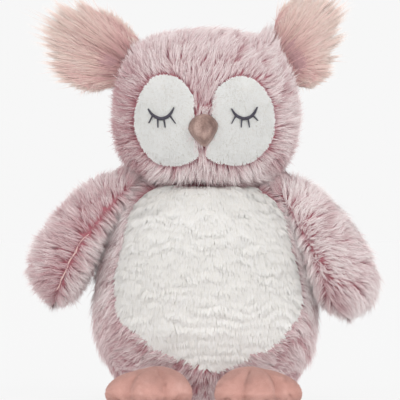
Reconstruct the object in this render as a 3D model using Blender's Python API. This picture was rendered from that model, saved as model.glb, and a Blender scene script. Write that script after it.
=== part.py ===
"""A stuffed toy owl, sitting upright: every sewn panel, filling and thread as a solid of its own.

The owl faces -Y and stands on z = 0. Each fur panel is drawn 3 mm thick: its cloth backing and
the dense lower part of its pile. All driving sizes are in millimetres here, and the meshes are
made in metres.
"""
from math import asin, atan2, copysign, cos, pi, radians, sin, sqrt

import bmesh
import bpy
import numpy as np
from mathutils import Vector
from mathutils.geometry import tessellate_polygon

MM = 0.001

# ------------------------------------------------------------------ driving sizes, mm
ORIGIN_SHIFT = (1.21, 21.27)   # puts the middle of the bounding box on x = 0, y = 0
FUR_T = 3.0                  # backing cloth with the dense foot of its pile
GAP = 0.4                    # between pieces that lie against each other
VELOUR_T = 1.2
DISC_T = 1.5
DISC_OFF = 0.8               # the disc over the face panel, whose facets are flat
SATIN_T = 0.8
THREAD_T = 0.6

# body skin, outside: height, half width, half depth
BODY = [
    (0.4, 46.0, 40.0), (2.5, 50.0, 44.5), (6.0, 53.6, 48.5), (11.0, 57.0, 51.5),
    (16.5, 60.0, 54.0), (22.1, 62.8, 56.0), (33.0, 67.2, 59.0), (46.0, 69.6, 61.0),
    (60.0, 70.0, 61.5), (76.0, 69.0, 61.0), (92.0, 66.2, 58.8), (108.0, 61.4, 54.8),
    (120.0, 55.4, 49.4), (128.0, 49.6, 44.6), (133.5, 43.5, 39.5), (137.2, 37.0, 34.0),
    (139.0, 31.0, 29.0),
]
BODY_ROWS = [0.4, 3, 8, 15, 22.1, 25, 28.6, 33.5, 40, 47, 55, 66, 80, 96, 110, 120, 128, 133.5, 137.2, 139]
BELLY_FOOT = 22.1
# the seam between belly and side panels, as height and distance from the middle
SEAM_LEFT = [(22.1, 0.6), (25, -5), (28.6, -13), (33.8, -28), (38.4, -35), (45.5, -43.5), (52.7, -52), (64.4, -55.8),
             (77.4, -56.6), (97, -52.6), (108.6, -50), (123, -46), (133, -39), (139, -28.5)]
SEAM_RIGHT = [(22.1, 4.6), (25.4, 17.5), (31.9, 27), (35.1, 37.5), (41.6, 46.5), (48, 51), (54.6, 57),
              (67.6, 59.6), (74, 59), (90.4, 56), (100, 53), (115, 49), (130, 42), (139, 28.5)]

# head skin, outside
HEAD_N = 2.25                # how square its level sections are
HEAD = [
    (145.0, 31.0, 29.0), (145.6, 36.5, 34.0), (147.2, 41.5, 38.4), (150.4, 46.4, 42.6),
    (155.0, 50.6, 46.0), (161.0, 53.9, 48.3), (168.0, 56.0, 49.6), (178.0, 57.0, 50.2), (188.0, 57.2, 50.2),
    (198.0, 56.4, 49.2), (208.0, 54.6, 47.4), (218.0, 50.6, 43.8), (226.0, 44.6, 38.6),
    (232.0, 35.6, 31.0), (235.6, 24.0, 21.0), (237.0, 13.0, 11.5), (237.5, 0.0, 0.0),
]
PIVOT_Z = 144.0              # where the neck bends
NECK_R = 26.0

# eye discs, photo-right is +X: outlines as they show from the front, x and z
DISC_LEFT = [(-28.1, 209.4), (-20.5, 208.4), (-15.4, 204.5), (-11, 199.6), (-8.4, 194.6), (-8.0, 186), (-7.6, 177),
             (-7.4, 169), (-6.6, 163.4), (-5.0, 158.8), (-8.2, 154.2), (-15, 151.4), (-24.9, 150.6), (-32.6, 153.1),
             (-40.8, 161.3), (-45.6, 172.5), (-46.7, 182), (-44, 194.3), (-38.3, 203.9), (-32.6, 208.7)]
DISC_RIGHT = [(23.4, 208.3), (15.8, 206.8), (10.2, 203.2), (6.6, 198.8), (4.8, 193), (4.4, 186), (4.2, 177), (3.4, 170),
              (2.4, 163.4), (1.0, 157.8), (6.4, 153.2), (13, 151.4), (20.8, 151.2), (29.8, 153.6), (38, 160.2),
              (43.0, 168.5), (44.4, 177), (43.2, 189.5), (37.8, 199.8), (31.2, 206.2)]
BEAK = [(-11.1, 175.4), (-9.2, 180.4), (-5.2, 183.2), (-0.8, 184.2), (3.8, 182.4), (7.2, 178.2), (7.0, 174.0),
        (5.2, 170.4), (2.9, 166.6), (-0.6, 163.6), (-4.8, 166.0), (-8.1, 169.4), (-10.3, 172.4)]
BEAK_H = 11.0

# closed eyes: the lid line, then each lash from its root on the line to its tip
LID_LEFT = [(-37.2, 187.6), (-35.2, 184.5), (-32.4, 182.4), (-28.8, 181.2), (-25.3, 182.1), (-22.6, 184.6), (-20.5, 188.3)]
LASHES_LEFT = [(-34.2, -36.7, 178.5), (-31.0, -30.8, 175.5), (-27.0, -26.2, 175.5), (-23.4, -19.5, 178.0)]
LID_RIGHT = [(16.2, 187.6), (18.3, 184.3), (21.0, 182.2), (24.4, 181.2), (28.0, 182.2), (30.8, 184.7), (32.9, 188.7)]
LASHES_RIGHT = [(19.0, 16.2, 177.8), (22.8, 22.4, 175.5), (26.8, 27.7, 175.5), (29.9, 33.3, 179.9)]
LID_W = 1.7
LASH_W = 1.1

# ears: outline of the pile's bulk as x, z, first point = upper root, last point = lower root
EAR_LEFT = [(-44.3, 233.9), (-52, 241), (-62, 250), (-74, 258), (-84, 260.5), (-94, 255), (-102, 246), (-106.5, 235),
            (-107, 224), (-101, 213), (-92, 206.5), (-80, 202.5), (-68.5, 201), (-60.9, 204.4)]
EAR_RIGHT = [(43.5, 233.8), (45.5, 243), (50, 253), (57, 260.5), (66, 263.0), (77, 261), (85.5, 254), (88, 244),
             (87, 233), (84, 221), (79, 211), (72, 204.5), (66, 202), (60, 205)]

# wings: the middle line as x, z, then half depth, outward and inward thickness along it
WING_LEFT = dict(mid=[(-51.0, 137.5), (-57.0, 130.5), (-65.7, 119.6), (-75.4, 106.6), (-83.5, 93.6), (-89.7, 81.6),
                      (-94.8, 70.5), (-98.4, 62.8)],
                 depth=[12, 16.5, 22, 26, 28, 27, 20.5, 0],
                 out=[12.0, 18.0, 21.4, 23.8, 24.6, 23.2, 17.5, 0],
                 inn=[4, 5.5, 7.5, 9.8, 11.6, 11.6, 9, 0], toe=-2.0, y=[-4, -5, -7, -9, -10, -10, -10, -10])
WING_RIGHT = dict(mid=[(51.0, 136.5), (58.5, 129.5), (68.5, 117.5), (77.5, 103.5), (84.0, 89.5), (88.6, 75.5),
                       (91.0, 63.5), (91.6, 54.0)],
                  depth=[12, 16.5, 22, 26, 28, 27, 20.5, 0],
                  out=[7.0, 10.6, 13.6, 16.0, 18.2, 19.2, 15.4, 0],
                  inn=[4, 5.5, 8.0, 10.5, 12.4, 13.6, 12.6, 0], toe=27.0, y=[-5, -7, -10, -13, -14, -14, -13, -13])

# feet: middle, toe-out angle, and the round lobes of the outline (forward, sideways, radius)
FOOT_LEFT = dict(at=(-33.4, -74.0), turn=9.0,
                 lobes=[(-3, 0, 18.8), (2, -9.1, 14.9), (2, 9.1, 14.9), (14.9, 16.8, 10.6), (19.8, 0, 11.7),
                        (14.4, -16.1, 10.4)])
FOOT_RIGHT = dict(at=(30.0, -74.0), turn=-8.0,
                  lobes=[(-3, 0, 18.6), (2, -9.0, 14.7), (2, 9.0, 14.7), (14.3, -17.5, 10.6), (19.5, 0, 11.2),
                         (14.7, 16.2, 10.5)])
FOOT_H = 21.0

COLOURS = {
    "rose_fur": ((0.62, 0.45, 0.46), 0.95),
    "white_belly": ((0.80, 0.78, 0.74), 0.95),
    "white_velboa": ((0.78, 0.76, 0.73), 0.9),
    "charcoal_thread": ((0.06, 0.05, 0.065), 0.5),
    "beak_satin": ((0.42, 0.30, 0.27), 0.35),
    "ear_pile": ((0.70, 0.48, 0.44), 0.85),
    "salmon_velour": ((0.64, 0.36, 0.31), 0.8),
    "stuffing_fibre": ((0.85, 0.85, 0.84), 0.95),
    "rose_thread": ((0.55, 0.38, 0.40), 0.6),
    "bag_cloth": ((0.70, 0.68, 0.62), 0.85),
}


# ------------------------------------------------------------------ helpers
def smooth(xs, ys):
    """A curve through the points that never swings past them (monotone cubic)."""
    xs, ys = np.asarray(xs, float), np.asarray(ys, float)
    order = np.argsort(xs)
    xs, ys = xs[order], ys[order]
    h, dy = np.diff(xs), np.diff(ys)
    slope = dy / h
    t = np.zeros(len(xs))
    for i in range(1, len(xs) - 1):
        if slope[i - 1] * slope[i] > 0:
            w1, w2 = 2 * h[i] + h[i - 1], h[i] + 2 * h[i - 1]
            t[i] = (w1 + w2) / (w1 / slope[i - 1] + w2 / slope[i])
    t[0], t[-1] = slope[0], slope[-1]

    def at(x):
        x = min(max(x, xs[0]), xs[-1])
        i = min(max(int(np.searchsorted(xs, x)) - 1, 0), len(xs) - 2)
        u = (x - xs[i]) / h[i]
        return float(
            (2 * u**3 - 3 * u**2 + 1) * ys[i] + (u**3 - 2 * u**2 + u) * h[i] * t[i]
            + (3 * u**2 - 2 * u**3) * ys[i + 1] + (u**3 - u**2) * h[i] * t[i + 1]
        )

    return at


def place(p):
    return Vector(((p[0] + ORIGIN_SHIFT[0]) * MM, (p[1] + ORIGIN_SHIFT[1]) * MM, p[2] * MM))


materials = {}


def material(slot):
    if slot not in materials:
        colour, rough = COLOURS[slot]
        m = bpy.data.materials.new(slot)
        m.use_nodes = True
        m.diffuse_color = (*colour, 1)
        shader = m.node_tree.nodes["Principled BSDF"]
        shader.inputs["Base Color"].default_value = (*colour, 1)
        shader.inputs["Roughness"].default_value = rough
        shader.inputs["Metallic"].default_value = 0.0
        materials[slot] = m
    return materials[slot]


groups = {}


def group(name, at=(0, 0, 0)):
    """An empty that carries the pieces of one moving part, on the axis that it turns about."""
    e = bpy.data.objects.new("at_" + name, None)
    e.location = place(at)
    e.empty_display_size = 0.01
    bpy.context.collection.objects.link(e)
    groups[name] = e
    return e


def add(name, bm, slot, parent):
    """Make the object, with its origin on the empty that carries it."""
    bmesh.ops.remove_doubles(bm, verts=bm.verts[:], dist=1e-6)
    bmesh.ops.recalc_face_normals(bm, faces=bm.faces[:])
    carrier = groups[parent]
    bmesh.ops.translate(bm, verts=bm.verts[:], vec=-carrier.location)
    mesh = bpy.data.meshes.new(name)
    bm.to_mesh(mesh)
    bm.free()
    ob = bpy.data.objects.new(name, mesh)
    bpy.context.collection.objects.link(ob)
    ob.parent = carrier
    mesh.materials.append(material(slot))
    return ob


def add_shell(name, outer, inner, slot, parent):
    """A panel with thickness: an outer and an inner sheet of the same rows, joined round their rim."""
    bm = bmesh.new()
    vo = [[bm.verts.new(place(p)) for p in row] for row in outer]
    vi = [[bm.verts.new(place(p)) for p in row] for row in inner]
    last, cols = len(outer) - 1, len(outer[0])
    for r in range(last):
        for k in range(cols - 1):
            bm.faces.new((vo[r][k], vo[r][k + 1], vo[r + 1][k + 1], vo[r + 1][k]))
            bm.faces.new((vi[r][k + 1], vi[r][k], vi[r + 1][k], vi[r + 1][k + 1]))
        bm.faces.new((vo[r][0], vo[r + 1][0], vi[r + 1][0], vi[r][0]))
        bm.faces.new((vo[r + 1][-1], vo[r][-1], vi[r][-1], vi[r + 1][-1]))
    for k in range(cols - 1):
        bm.faces.new((vo[0][k + 1], vo[0][k], vi[0][k], vi[0][k + 1]))
        bm.faces.new((vo[last][k], vo[last][k + 1], vi[last][k + 1], vi[last][k]))
    bmesh.ops.remove_doubles(bm, verts=bm.verts[:], dist=2e-6)
    bmesh.ops.dissolve_degenerate(bm, dist=1e-6, edges=bm.edges[:])
    return add(name, bm, slot, parent)


def loft(rings):
    """A closed solid through closed rings, each end capped (an end ring of one repeated point is a pole)."""
    bm = bmesh.new()
    loops = []
    for ring in rings:
        loops.append([bm.verts.new(place(p)) for p in ring])
    n = len(rings[0])
    for lower, upper in zip(loops, loops[1:]):
        for i in range(n):
            j = (i + 1) % n
            bm.faces.new((lower[i], lower[j], upper[j], upper[i]))
    for loop in (loops[0], loops[-1]):
        if (loop[0].co - loop[n // 2].co).length > 1e-6:
            bm.faces.new(loop)
    bmesh.ops.remove_doubles(bm, verts=bm.verts[:], dist=1e-6)
    bmesh.ops.dissolve_degenerate(bm, dist=1e-7, edges=bm.edges[:])
    bmesh.ops.recalc_face_normals(bm, faces=bm.faces[:])
    return bm


def ring_point(a, b, n, phi):
    """A point of a level section; phi is 0 at the front and grows towards +X."""
    s, c = sin(phi), cos(phi)
    return a * copysign(abs(s) ** (2 / n), s), -b * copysign(abs(c) ** (2 / n), c)


def ring(a, b, z, n=2.0, count=40, y=0.0):
    out = []
    for i in range(count):
        x, yy = ring_point(a, b, n, 2 * pi * i / count)
        out.append((x, yy + y, z))
    return out


def inset(profile, d):
    """A profile moved inward by d along its normal."""
    p = np.array(profile, float)
    r = (p[:, 1] + p[:, 2]) / 2
    t = np.gradient(np.stack([r, p[:, 0]], 1), axis=0)
    t /= np.linalg.norm(t, axis=1)[:, None]
    nr, nz = t[:, 1], -t[:, 0]      # outward normal of a profile that runs upward
    return [(z - d * b_, a - d * a_, b - d * a_) for (z, a, b), a_, b_ in zip(profile, nr, nz)]


body_a = smooth([p[0] for p in BODY], [p[1] for p in BODY])
body_b = smooth([p[0] for p in BODY], [p[2] for p in BODY])
head_a = smooth([p[0] for p in HEAD], [p[1] for p in HEAD])
head_b = smooth([p[0] for p in HEAD], [p[2] for p in HEAD])


def head_front(x, z):
    """y of the head's skin in front, over x and z."""
    a, b = head_a(z), head_b(z)
    u = min(abs(x) / a, 0.999)
    return -b * (1 - u**HEAD_N) ** (1 / HEAD_N)


def on_face(x, z, off):
    """The point off mm outside the head's skin over x, z."""
    e = 0.4
    fx = (head_front(x + e, z) - head_front(x - e, z)) / (2 * e)
    fz = (head_front(x, z + e) - head_front(x, z - e)) / (2 * e)
    n = np.array([fx, -1.0, fz])
    n /= np.linalg.norm(n)
    return (x + n[0] * off, head_front(x, z) + n[1] * off, z + n[2] * off)


def seen_at(x, z, off):
    """The place on the skin under the point that stands off mm from it and shows at x, z from the front."""
    u, w = x, z
    for _ in range(12):
        p = on_face(u, w, off)
        u, w = u + x - p[0], w + z - p[2]
    return u, w


def round_outline(points, count):
    """A closed outline through the points, smoothed, as count points evenly spaced along it."""
    p = np.array(points, float)
    k = len(p)
    out = []
    for i in range(k):
        p0, p1, p2, p3 = p[i - 1], p[i], p[(i + 1) % k], p[(i + 2) % k]
        for u in np.linspace(0, 1, 12, endpoint=False):
            out.append(0.5 * (2 * p1 + (p2 - p0) * u + (2 * p0 - 5 * p1 + 4 * p2 - p3) * u**2
                              + (3 * p1 - p0 - 3 * p2 + p3) * u**3))
    out = np.array(out + [out[0]])
    s = np.concatenate([[0], np.cumsum(np.linalg.norm(np.diff(out, axis=0), axis=1))])
    want = np.linspace(0, s[-1], count, endpoint=False)
    return [(float(np.interp(w, s, out[:, 0])), float(np.interp(w, s, out[:, 1]))) for w in want]


def patch(outline, centre, rings, lift, flat):
    """A closed solid over an outline: lift(x, z, f) is its outer point, flat(x, z) its inner one; f runs 0 to 1 outward."""
    bm = bmesh.new()
    cx, cz = centre
    top_c = bm.verts.new(place(lift(cx, cz, 0.0)))
    low_c = bm.verts.new(place(flat(cx, cz)))
    n = len(outline)
    tops, lows = [], []
    for k in range(1, rings + 1):
        f = k / rings
        tops.append([bm.verts.new(place(lift(cx + (x - cx) * f, cz + (z - cz) * f, f))) for x, z in outline])
        lows.append([bm.verts.new(place(flat(cx + (x - cx) * f, cz + (z - cz) * f))) for x, z in outline])
    for i in range(n):
        j = (i + 1) % n
        bm.faces.new((top_c, tops[0][i], tops[0][j]))
        bm.faces.new((low_c, lows[0][j], lows[0][i]))
        for k in range(rings - 1):
            bm.faces.new((tops[k][i], tops[k + 1][i], tops[k + 1][j], tops[k][j]))
            bm.faces.new((lows[k][j], lows[k + 1][j], lows[k + 1][i], lows[k][i]))
        bm.faces.new((tops[-1][i], lows[-1][i], lows[-1][j], tops[-1][j]))
    return bm


# ------------------------------------------------------------------ start from an empty file
for old in list(bpy.data.objects):
    bpy.data.objects.remove(old)

group("torso")
group("neck", (0, 0, PIVOT_Z))
group("neck_seam", (0, 0, PIVOT_Z))
group("head", (0, 0, PIVOT_Z))


# ------------------------------------------------------------------ torso
def seam_angle(table, z):
    x = table(max(z, BELLY_FOOT))
    a = body_a(z)
    return asin(max(-0.93, min(0.93, x / a)))


seam_left = smooth([p[0] for p in SEAM_LEFT], [p[1] for p in SEAM_LEFT])
seam_right = smooth([p[0] for p in SEAM_RIGHT], [p[1] for p in SEAM_RIGHT])
SEAM = 0.5                    # half the space at the belly seam, mm along the skin
SIDE_COLS = 13
BELLY_COLS = 12


outside = [(z, body_a(z), body_b(z)) for z in BODY_ROWS]
inside = inset(outside, FUR_T)


def body_row(level, start, end, cols):
    """Outer and inner points of one level of the skin between two angles."""
    out = []
    for z, a, b in (outside[level], inside[level]):
        row = []
        for i in range(cols + 1):
            x, y = ring_point(a, b, 2.0, start + (end - start) * i / cols)
            row.append((x, y, z))
        out.append(row)
    return out


panels = {"body_left_panel": [], "body_right_panel": [], "belly_panel": []}
for level, z in enumerate(BODY_ROWS):
    a = body_a(z)
    if z < BELLY_FOOT:
        l = r = asin(2.6 / a)
        l -= 0.3 / a
        r += 0.3 / a
    else:
        l, r = seam_angle(seam_left, z), seam_angle(seam_right, z)
        panels["belly_panel"].append(body_row(level, l, r, BELLY_COLS))
        l -= 2 * SEAM / a
        r += 2 * SEAM / a
    back = pi - 0.3 / a
    panels["body_right_panel"].append(body_row(level, r, back, SIDE_COLS))
    panels["body_left_panel"].append(body_row(level, l, -back, SIDE_COLS))
for name, rows in panels.items():
    add_shell(name, [r[0] for r in rows], [r[1] for r in rows],
              "white_belly" if name == "belly_panel" else "rose_fur", "torso")

# the flat oval that it sits on
bm = bmesh.new()
oval = [bm.verts.new(place(p)) for p in ring(42.8, 36.8, 0.0, count=40)]
face = bm.faces.new(oval)
up = bmesh.ops.extrude_face_region(bm, geom=[face])
bmesh.ops.translate(bm, verts=[v for v in up["geom"] if isinstance(v, bmesh.types.BMVert)], vec=(0, 0, 2.0 * MM))
add("base_panel", bm, "rose_fur", "torso")

# bag of pellets, low in the body
bag = [(3.0, 0, 0), (3.0, 30, 25), (4.6, 36, 30), (8.5, 39.5, 33.2), (13.5, 39.5, 33.2), (18.5, 35, 29), (22.5, 26, 21.5),
       (24.6, 13, 11), (25.0, 0, 0)]
add("pellet_bag", loft([ring(a, b, z, count=32) for z, a, b in bag]), "bag_cloth", "torso")

# the filling rests over the bag, and its top is cupped round the neck
inner = inset(BODY, FUR_T + GAP + 1.1)
rows = [ring(0, 0, 26.0, count=26), ring(14, 12, 25.6, count=26), ring(27.5, 23, 23.4, count=26),
        ring(36.6, 30.6, 19.0, count=26), ring(41, 34.6, 13.6, count=26), ring(41, 34.6, 8.0, count=26)]
rows.append(ring(50.5, 43.8, 7.4, count=26))
rows += [ring(a, b, z, count=26) for z, a, b in inner if 9 < z < 131]
rows.append(ring(36.6, 32.4, 131.8, count=26))
rows.append(ring(31.0, 28.2, 134.6, count=26))
rows.append(ring(27.4, 26.6, 136.2, count=26))
SOCKET = NECK_R + 0.7
for t in (19, 32, 46, 60, 75):
    t = radians(t)
    rows.append(ring(SOCKET * cos(t), SOCKET * cos(t), PIVOT_Z - SOCKET * sin(t), count=26))
rows.append(ring(0, 0, PIVOT_Z - SOCKET, count=26))
add("body_stuffing", loft(rows), "stuffing_fibre", "torso")

# hand-sewn stitches that close the back seam
curve = bpy.data.curves.new("closing_thread", "CURVE")
curve.dimensions = "3D"
curve.bevel_depth = 0.35 * MM
curve.bevel_resolution = 1
curve.use_fill_caps = True
sp = curve.splines.new("POLY")
steps = 25
sp.points.add(steps - 1)
for i in range(steps):
    z = 58 + 44 * i / (steps - 1)
    x = 1.7 if i % 2 else -1.7
    y = body_b(z) * sqrt(1 - (x / body_a(z)) ** 2) + 0.75
    p = place((x, y, z)) - groups["torso"].location
    sp.points[i].co = (*p, 1)
ob = bpy.data.objects.new("closing_thread", curve)
bpy.context.collection.objects.link(ob)
ob.parent = groups["torso"]
curve.materials.append(material("rose_thread"))

# ------------------------------------------------------------------ neck
bm = bmesh.new()
bmesh.ops.create_uvsphere(bm, u_segments=24, v_segments=12, radius=NECK_R * MM)
bmesh.ops.translate(bm, verts=bm.verts[:], vec=place((0, 0, PIVOT_Z)))
add("neck_stuffing", bm, "stuffing_fibre", "neck")

curve = bpy.data.curves.new("neck_seam_thread", "CURVE")
curve.dimensions = "3D"
curve.bevel_depth = 0.5 * MM
curve.bevel_resolution = 1
sp = curve.splines.new("POLY")
sp.points.add(35)
for i in range(36):
    t = 2 * pi * i / 36
    sp.points[i].co = ((NECK_R + 1.0) * MM * cos(t), (NECK_R + 1.0) * MM * sin(t), 0, 1)
sp.use_cyclic_u = True
ob = bpy.data.objects.new("neck_seam_thread", curve)
bpy.context.collection.objects.link(ob)
ob.parent = groups["neck_seam"]
curve.materials.append(material("rose_thread"))


# ------------------------------------------------------------------ head
def head_rows(profile, start, end, shift):
    out = []
    for z, a, b in profile:
        row = []
        for i in range(13):
            x, y = ring_point(a, b, HEAD_N, start + (end - start) * i / 12)
            row.append((x, y + shift, z))
        out.append(row)
    return out


thick = inset(HEAD, FUR_T)
thick[-1] = (HEAD[-1][0] - FUR_T, 0.0, 0.0)
for name, start, shift in (("head_front_panel", -pi / 2, -0.2), ("head_back_panel", pi / 2, 0.2)):
    add_shell(name, head_rows(HEAD, start, start + pi, shift), head_rows(thick, start, start + pi, shift),
              "rose_fur", "head")

inner = inset(HEAD, FUR_T + GAP + 1.1)
rows = [ring(0, 0, PIVOT_Z + SOCKET, count=26)]
for t in (75, 60, 46, 32, 19):
    t = radians(t)
    rows.append(ring(SOCKET * cos(t), SOCKET * cos(t), PIVOT_Z + SOCKET * sin(t), count=26))
rows.append(ring(27.4, 26.6, 151.8, count=26))
rows.append(ring(36.0, 32.0, 155.4, HEAD_N, count=26))
rows += [ring(a, b, z, HEAD_N, count=26) for z, a, b in inner if 157.5 < z < 230]
rows.append(ring(22, 19, 231.4, HEAD_N, count=26))
rows.append(ring(11, 9.5, 232.9, HEAD_N, count=26))
rows.append(ring(0, 0, 233.2, count=26))
add("head_stuffing", loft(rows), "stuffing_fibre", "head")

# eye discs, sewn flat on the face
for side, outline in (("left", DISC_LEFT), ("right", DISC_RIGHT)):
    line = [seen_at(x, z, DISC_OFF + DISC_T) for x, z in round_outline(outline, 32)]
    c = (-27.0 if side == "left" else 23.5, 180.0)
    bm = patch(line, c, 4, lambda x, z, f: on_face(x, z, DISC_OFF + DISC_T), lambda x, z: on_face(x, z, DISC_OFF))
    add("eye_disc_" + side, bm, "white_velboa", "head")

# closed eyes: one outline goes along the lid and back round each lash
for side, lid, lashes in (("left", LID_LEFT, LASHES_LEFT), ("right", LID_RIGHT, LASHES_RIGHT)):
    lid_z = smooth([p[0] for p in lid], [p[1] for p in lid])
    lo_x, hi_x = lid[0][0], lid[-1][0]
    mid_x = (lo_x + hi_x) / 2

    def half(x):
        return 0.25 + (LID_W / 2 - 0.25) * max(0.0, 1 - ((x - mid_x) / (hi_x - mid_x)) ** 2) ** 0.7

    upper = [(x, lid_z(x) + half(x)) for x in np.linspace(lo_x, hi_x, 22)]
    lower = []
    marks = sorted(lashes, key=lambda k: -k[0])
    xs = list(np.linspace(hi_x, lo_x, 22))
    for root, tip_x, tip_z in marks:
        while xs and xs[0] > root + LASH_W * 0.75:
            x = xs.pop(0)
            lower.append((x, lid_z(x) - half(x)))
        while xs and xs[0] > root - LASH_W * 0.75:
            xs.pop(0)
        rz = lid_z(root)
        d = np.array([tip_x - root, tip_z - rz])
        d /= np.linalg.norm(d)
        s = np.array([-d[1], d[0]]) * LASH_W / 2       # to +X for a lash that hangs down
        if s[0] < 0:
            s = -s
        tip = np.array([tip_x, tip_z])
        base = np.array([root, rz]) + d * (half(root) * 0.9)
        lower += [tuple(base + s), tuple(tip + s * 0.55), tuple(tip - s * 0.55), tuple(base - s)]
    while xs:
        x = xs.pop(0)
        lower.append((x, lid_z(x) - half(x)))
    poly = upper + lower
    tris = tessellate_polygon([[Vector((x, z, 0)) for x, z in poly]])
    bm = bmesh.new()
    lift = DISC_OFF + DISC_T + 0.3
    foot_of = [seen_at(x, z, lift + THREAD_T) for x, z in poly]
    top = [bm.verts.new(place(on_face(x, z, lift + THREAD_T))) for x, z in foot_of]
    low = [bm.verts.new(place(on_face(x, z, lift))) for x, z in foot_of]
    for a, b, c in tris:
        bm.faces.new((top[a], top[b], top[c]))
        bm.faces.new((low[c], low[b], low[a]))
    for i in range(len(poly)):
        j = (i + 1) % len(poly)
        bm.faces.new((top[i], low[i], low[j], top[j]))
    add("eye_embroidery_" + side, bm, "charcoal_thread", "head")

# beak: a gathered satin cap over its filling
line = round_outline(BEAK, 24)
bc = (-1.6, 174.6)
base_off = DISC_OFF + DISC_T + 0.35


def beak_out(x, z, f, shrink=0.0):
    top = BEAK_H * (1 - f**2.6) ** 0.62 * (1.0 - 0.012 * (z - bc[1]))
    p = on_face(x, z, base_off)
    return (p[0], p[1] - max(0.0, top - shrink), p[2])


def shrunk(points, centre, by):
    out = []
    for x, z in points:
        d = sqrt((x - centre[0]) ** 2 + (z - centre[1]) ** 2)
        k = (d - by) / d
        out.append((centre[0] + (x - centre[0]) * k, centre[1] + (z - centre[1]) * k))
    return out


inner_line = shrunk(line, bc, SATIN_T)
bm = bmesh.new()
outer_loops, inner_loops = [], []
RINGS = 5
oc = bm.verts.new(place(beak_out(*bc, 0)))
ic = bm.verts.new(place(beak_out(*bc, 0, SATIN_T)))
for k in range(1, RINGS + 1):
    f = sin(pi / 2 * k / RINGS)
    outer_loops.append([bm.verts.new(place(beak_out(bc[0] + (x - bc[0]) * f, bc[1] + (z - bc[1]) * f, f))) for x, z in line])
    inner_loops.append([bm.verts.new(place(beak_out(bc[0] + (x - bc[0]) * f, bc[1] + (z - bc[1]) * f, f, SATIN_T if k < RINGS else 0)))
                        for x, z in inner_line])
n = len(line)
for i in range(n):
    j = (i + 1) % n
    bm.faces.new((oc, outer_loops[0][i], outer_loops[0][j]))
    bm.faces.new((ic, inner_loops[0][j], inner_loops[0][i]))
    for k in range(RINGS - 1):
        bm.faces.new((outer_loops[k][i], outer_loops[k + 1][i], outer_loops[k + 1][j], outer_loops[k][j]))
        bm.faces.new((inner_loops[k][j], inner_loops[k + 1][j], inner_loops[k + 1][i], inner_loops[k][i]))
    bm.faces.new((outer_loops[-1][i], inner_loops[-1][i], inner_loops[-1][j], outer_loops[-1][j]))
add("beak_cover", bm, "beak_satin", "head")

fill_line = shrunk(line, bc, SATIN_T + GAP + 0.5)
bm = patch(fill_line, bc, 4,
           lambda x, z, f: beak_out(x, z, min(1.0, 0.9 * f + 0.02), SATIN_T + GAP) if f < 1 else
           (on_face(x, z, base_off)[0], on_face(x, z, base_off)[1] - 0.8, on_face(x, z, base_off)[2]),
           lambda x, z: on_face(x, z, base_off))
add("beak_stuffing", bm, "stuffing_fibre", "head")


# ------------------------------------------------------------------ ears
def ear(side, outline):
    upper, lower = np.array(outline[0]), np.array(outline[-1])
    root = (upper + lower) / 2
    group("ear_" + side, (root[0], 0, root[1]))
    line = round_outline(outline, 26)
    c = np.mean(np.array(outline), axis=0)
    along = (lower - upper) / np.linalg.norm(lower - upper)
    away = np.array([along[1], -along[0]])
    if np.dot(away, c - root) < 0:
        away = -away
    far = max(np.dot(np.array(p) - root, away) for p in outline)

    def thick(x, z, f):
        t = np.dot(np.array([x, z]) - root, away) / far        # 0 at the root, 1 at the far edge
        t = max(0.0, min(1.0, t))
        return 1.3 + 5.0 * sin(pi * min(1.0, t + 0.12)) ** 0.8 * (1 - f**3) + 0.6 * (1 - t)

    for name, sign in (("front", -1), ("back", 1)):
        bm = patch(line, tuple(c), 4,
                   lambda x, z, f: (x, sign * (0.25 + thick(x, z, f)), z),
                   lambda x, z: (x, sign * 0.25, z))
        add("ear_%s_%s" % (side, name), bm, "ear_pile", "ear_" + side)


ear("left", EAR_LEFT)
ear("right", EAR_RIGHT)


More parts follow.
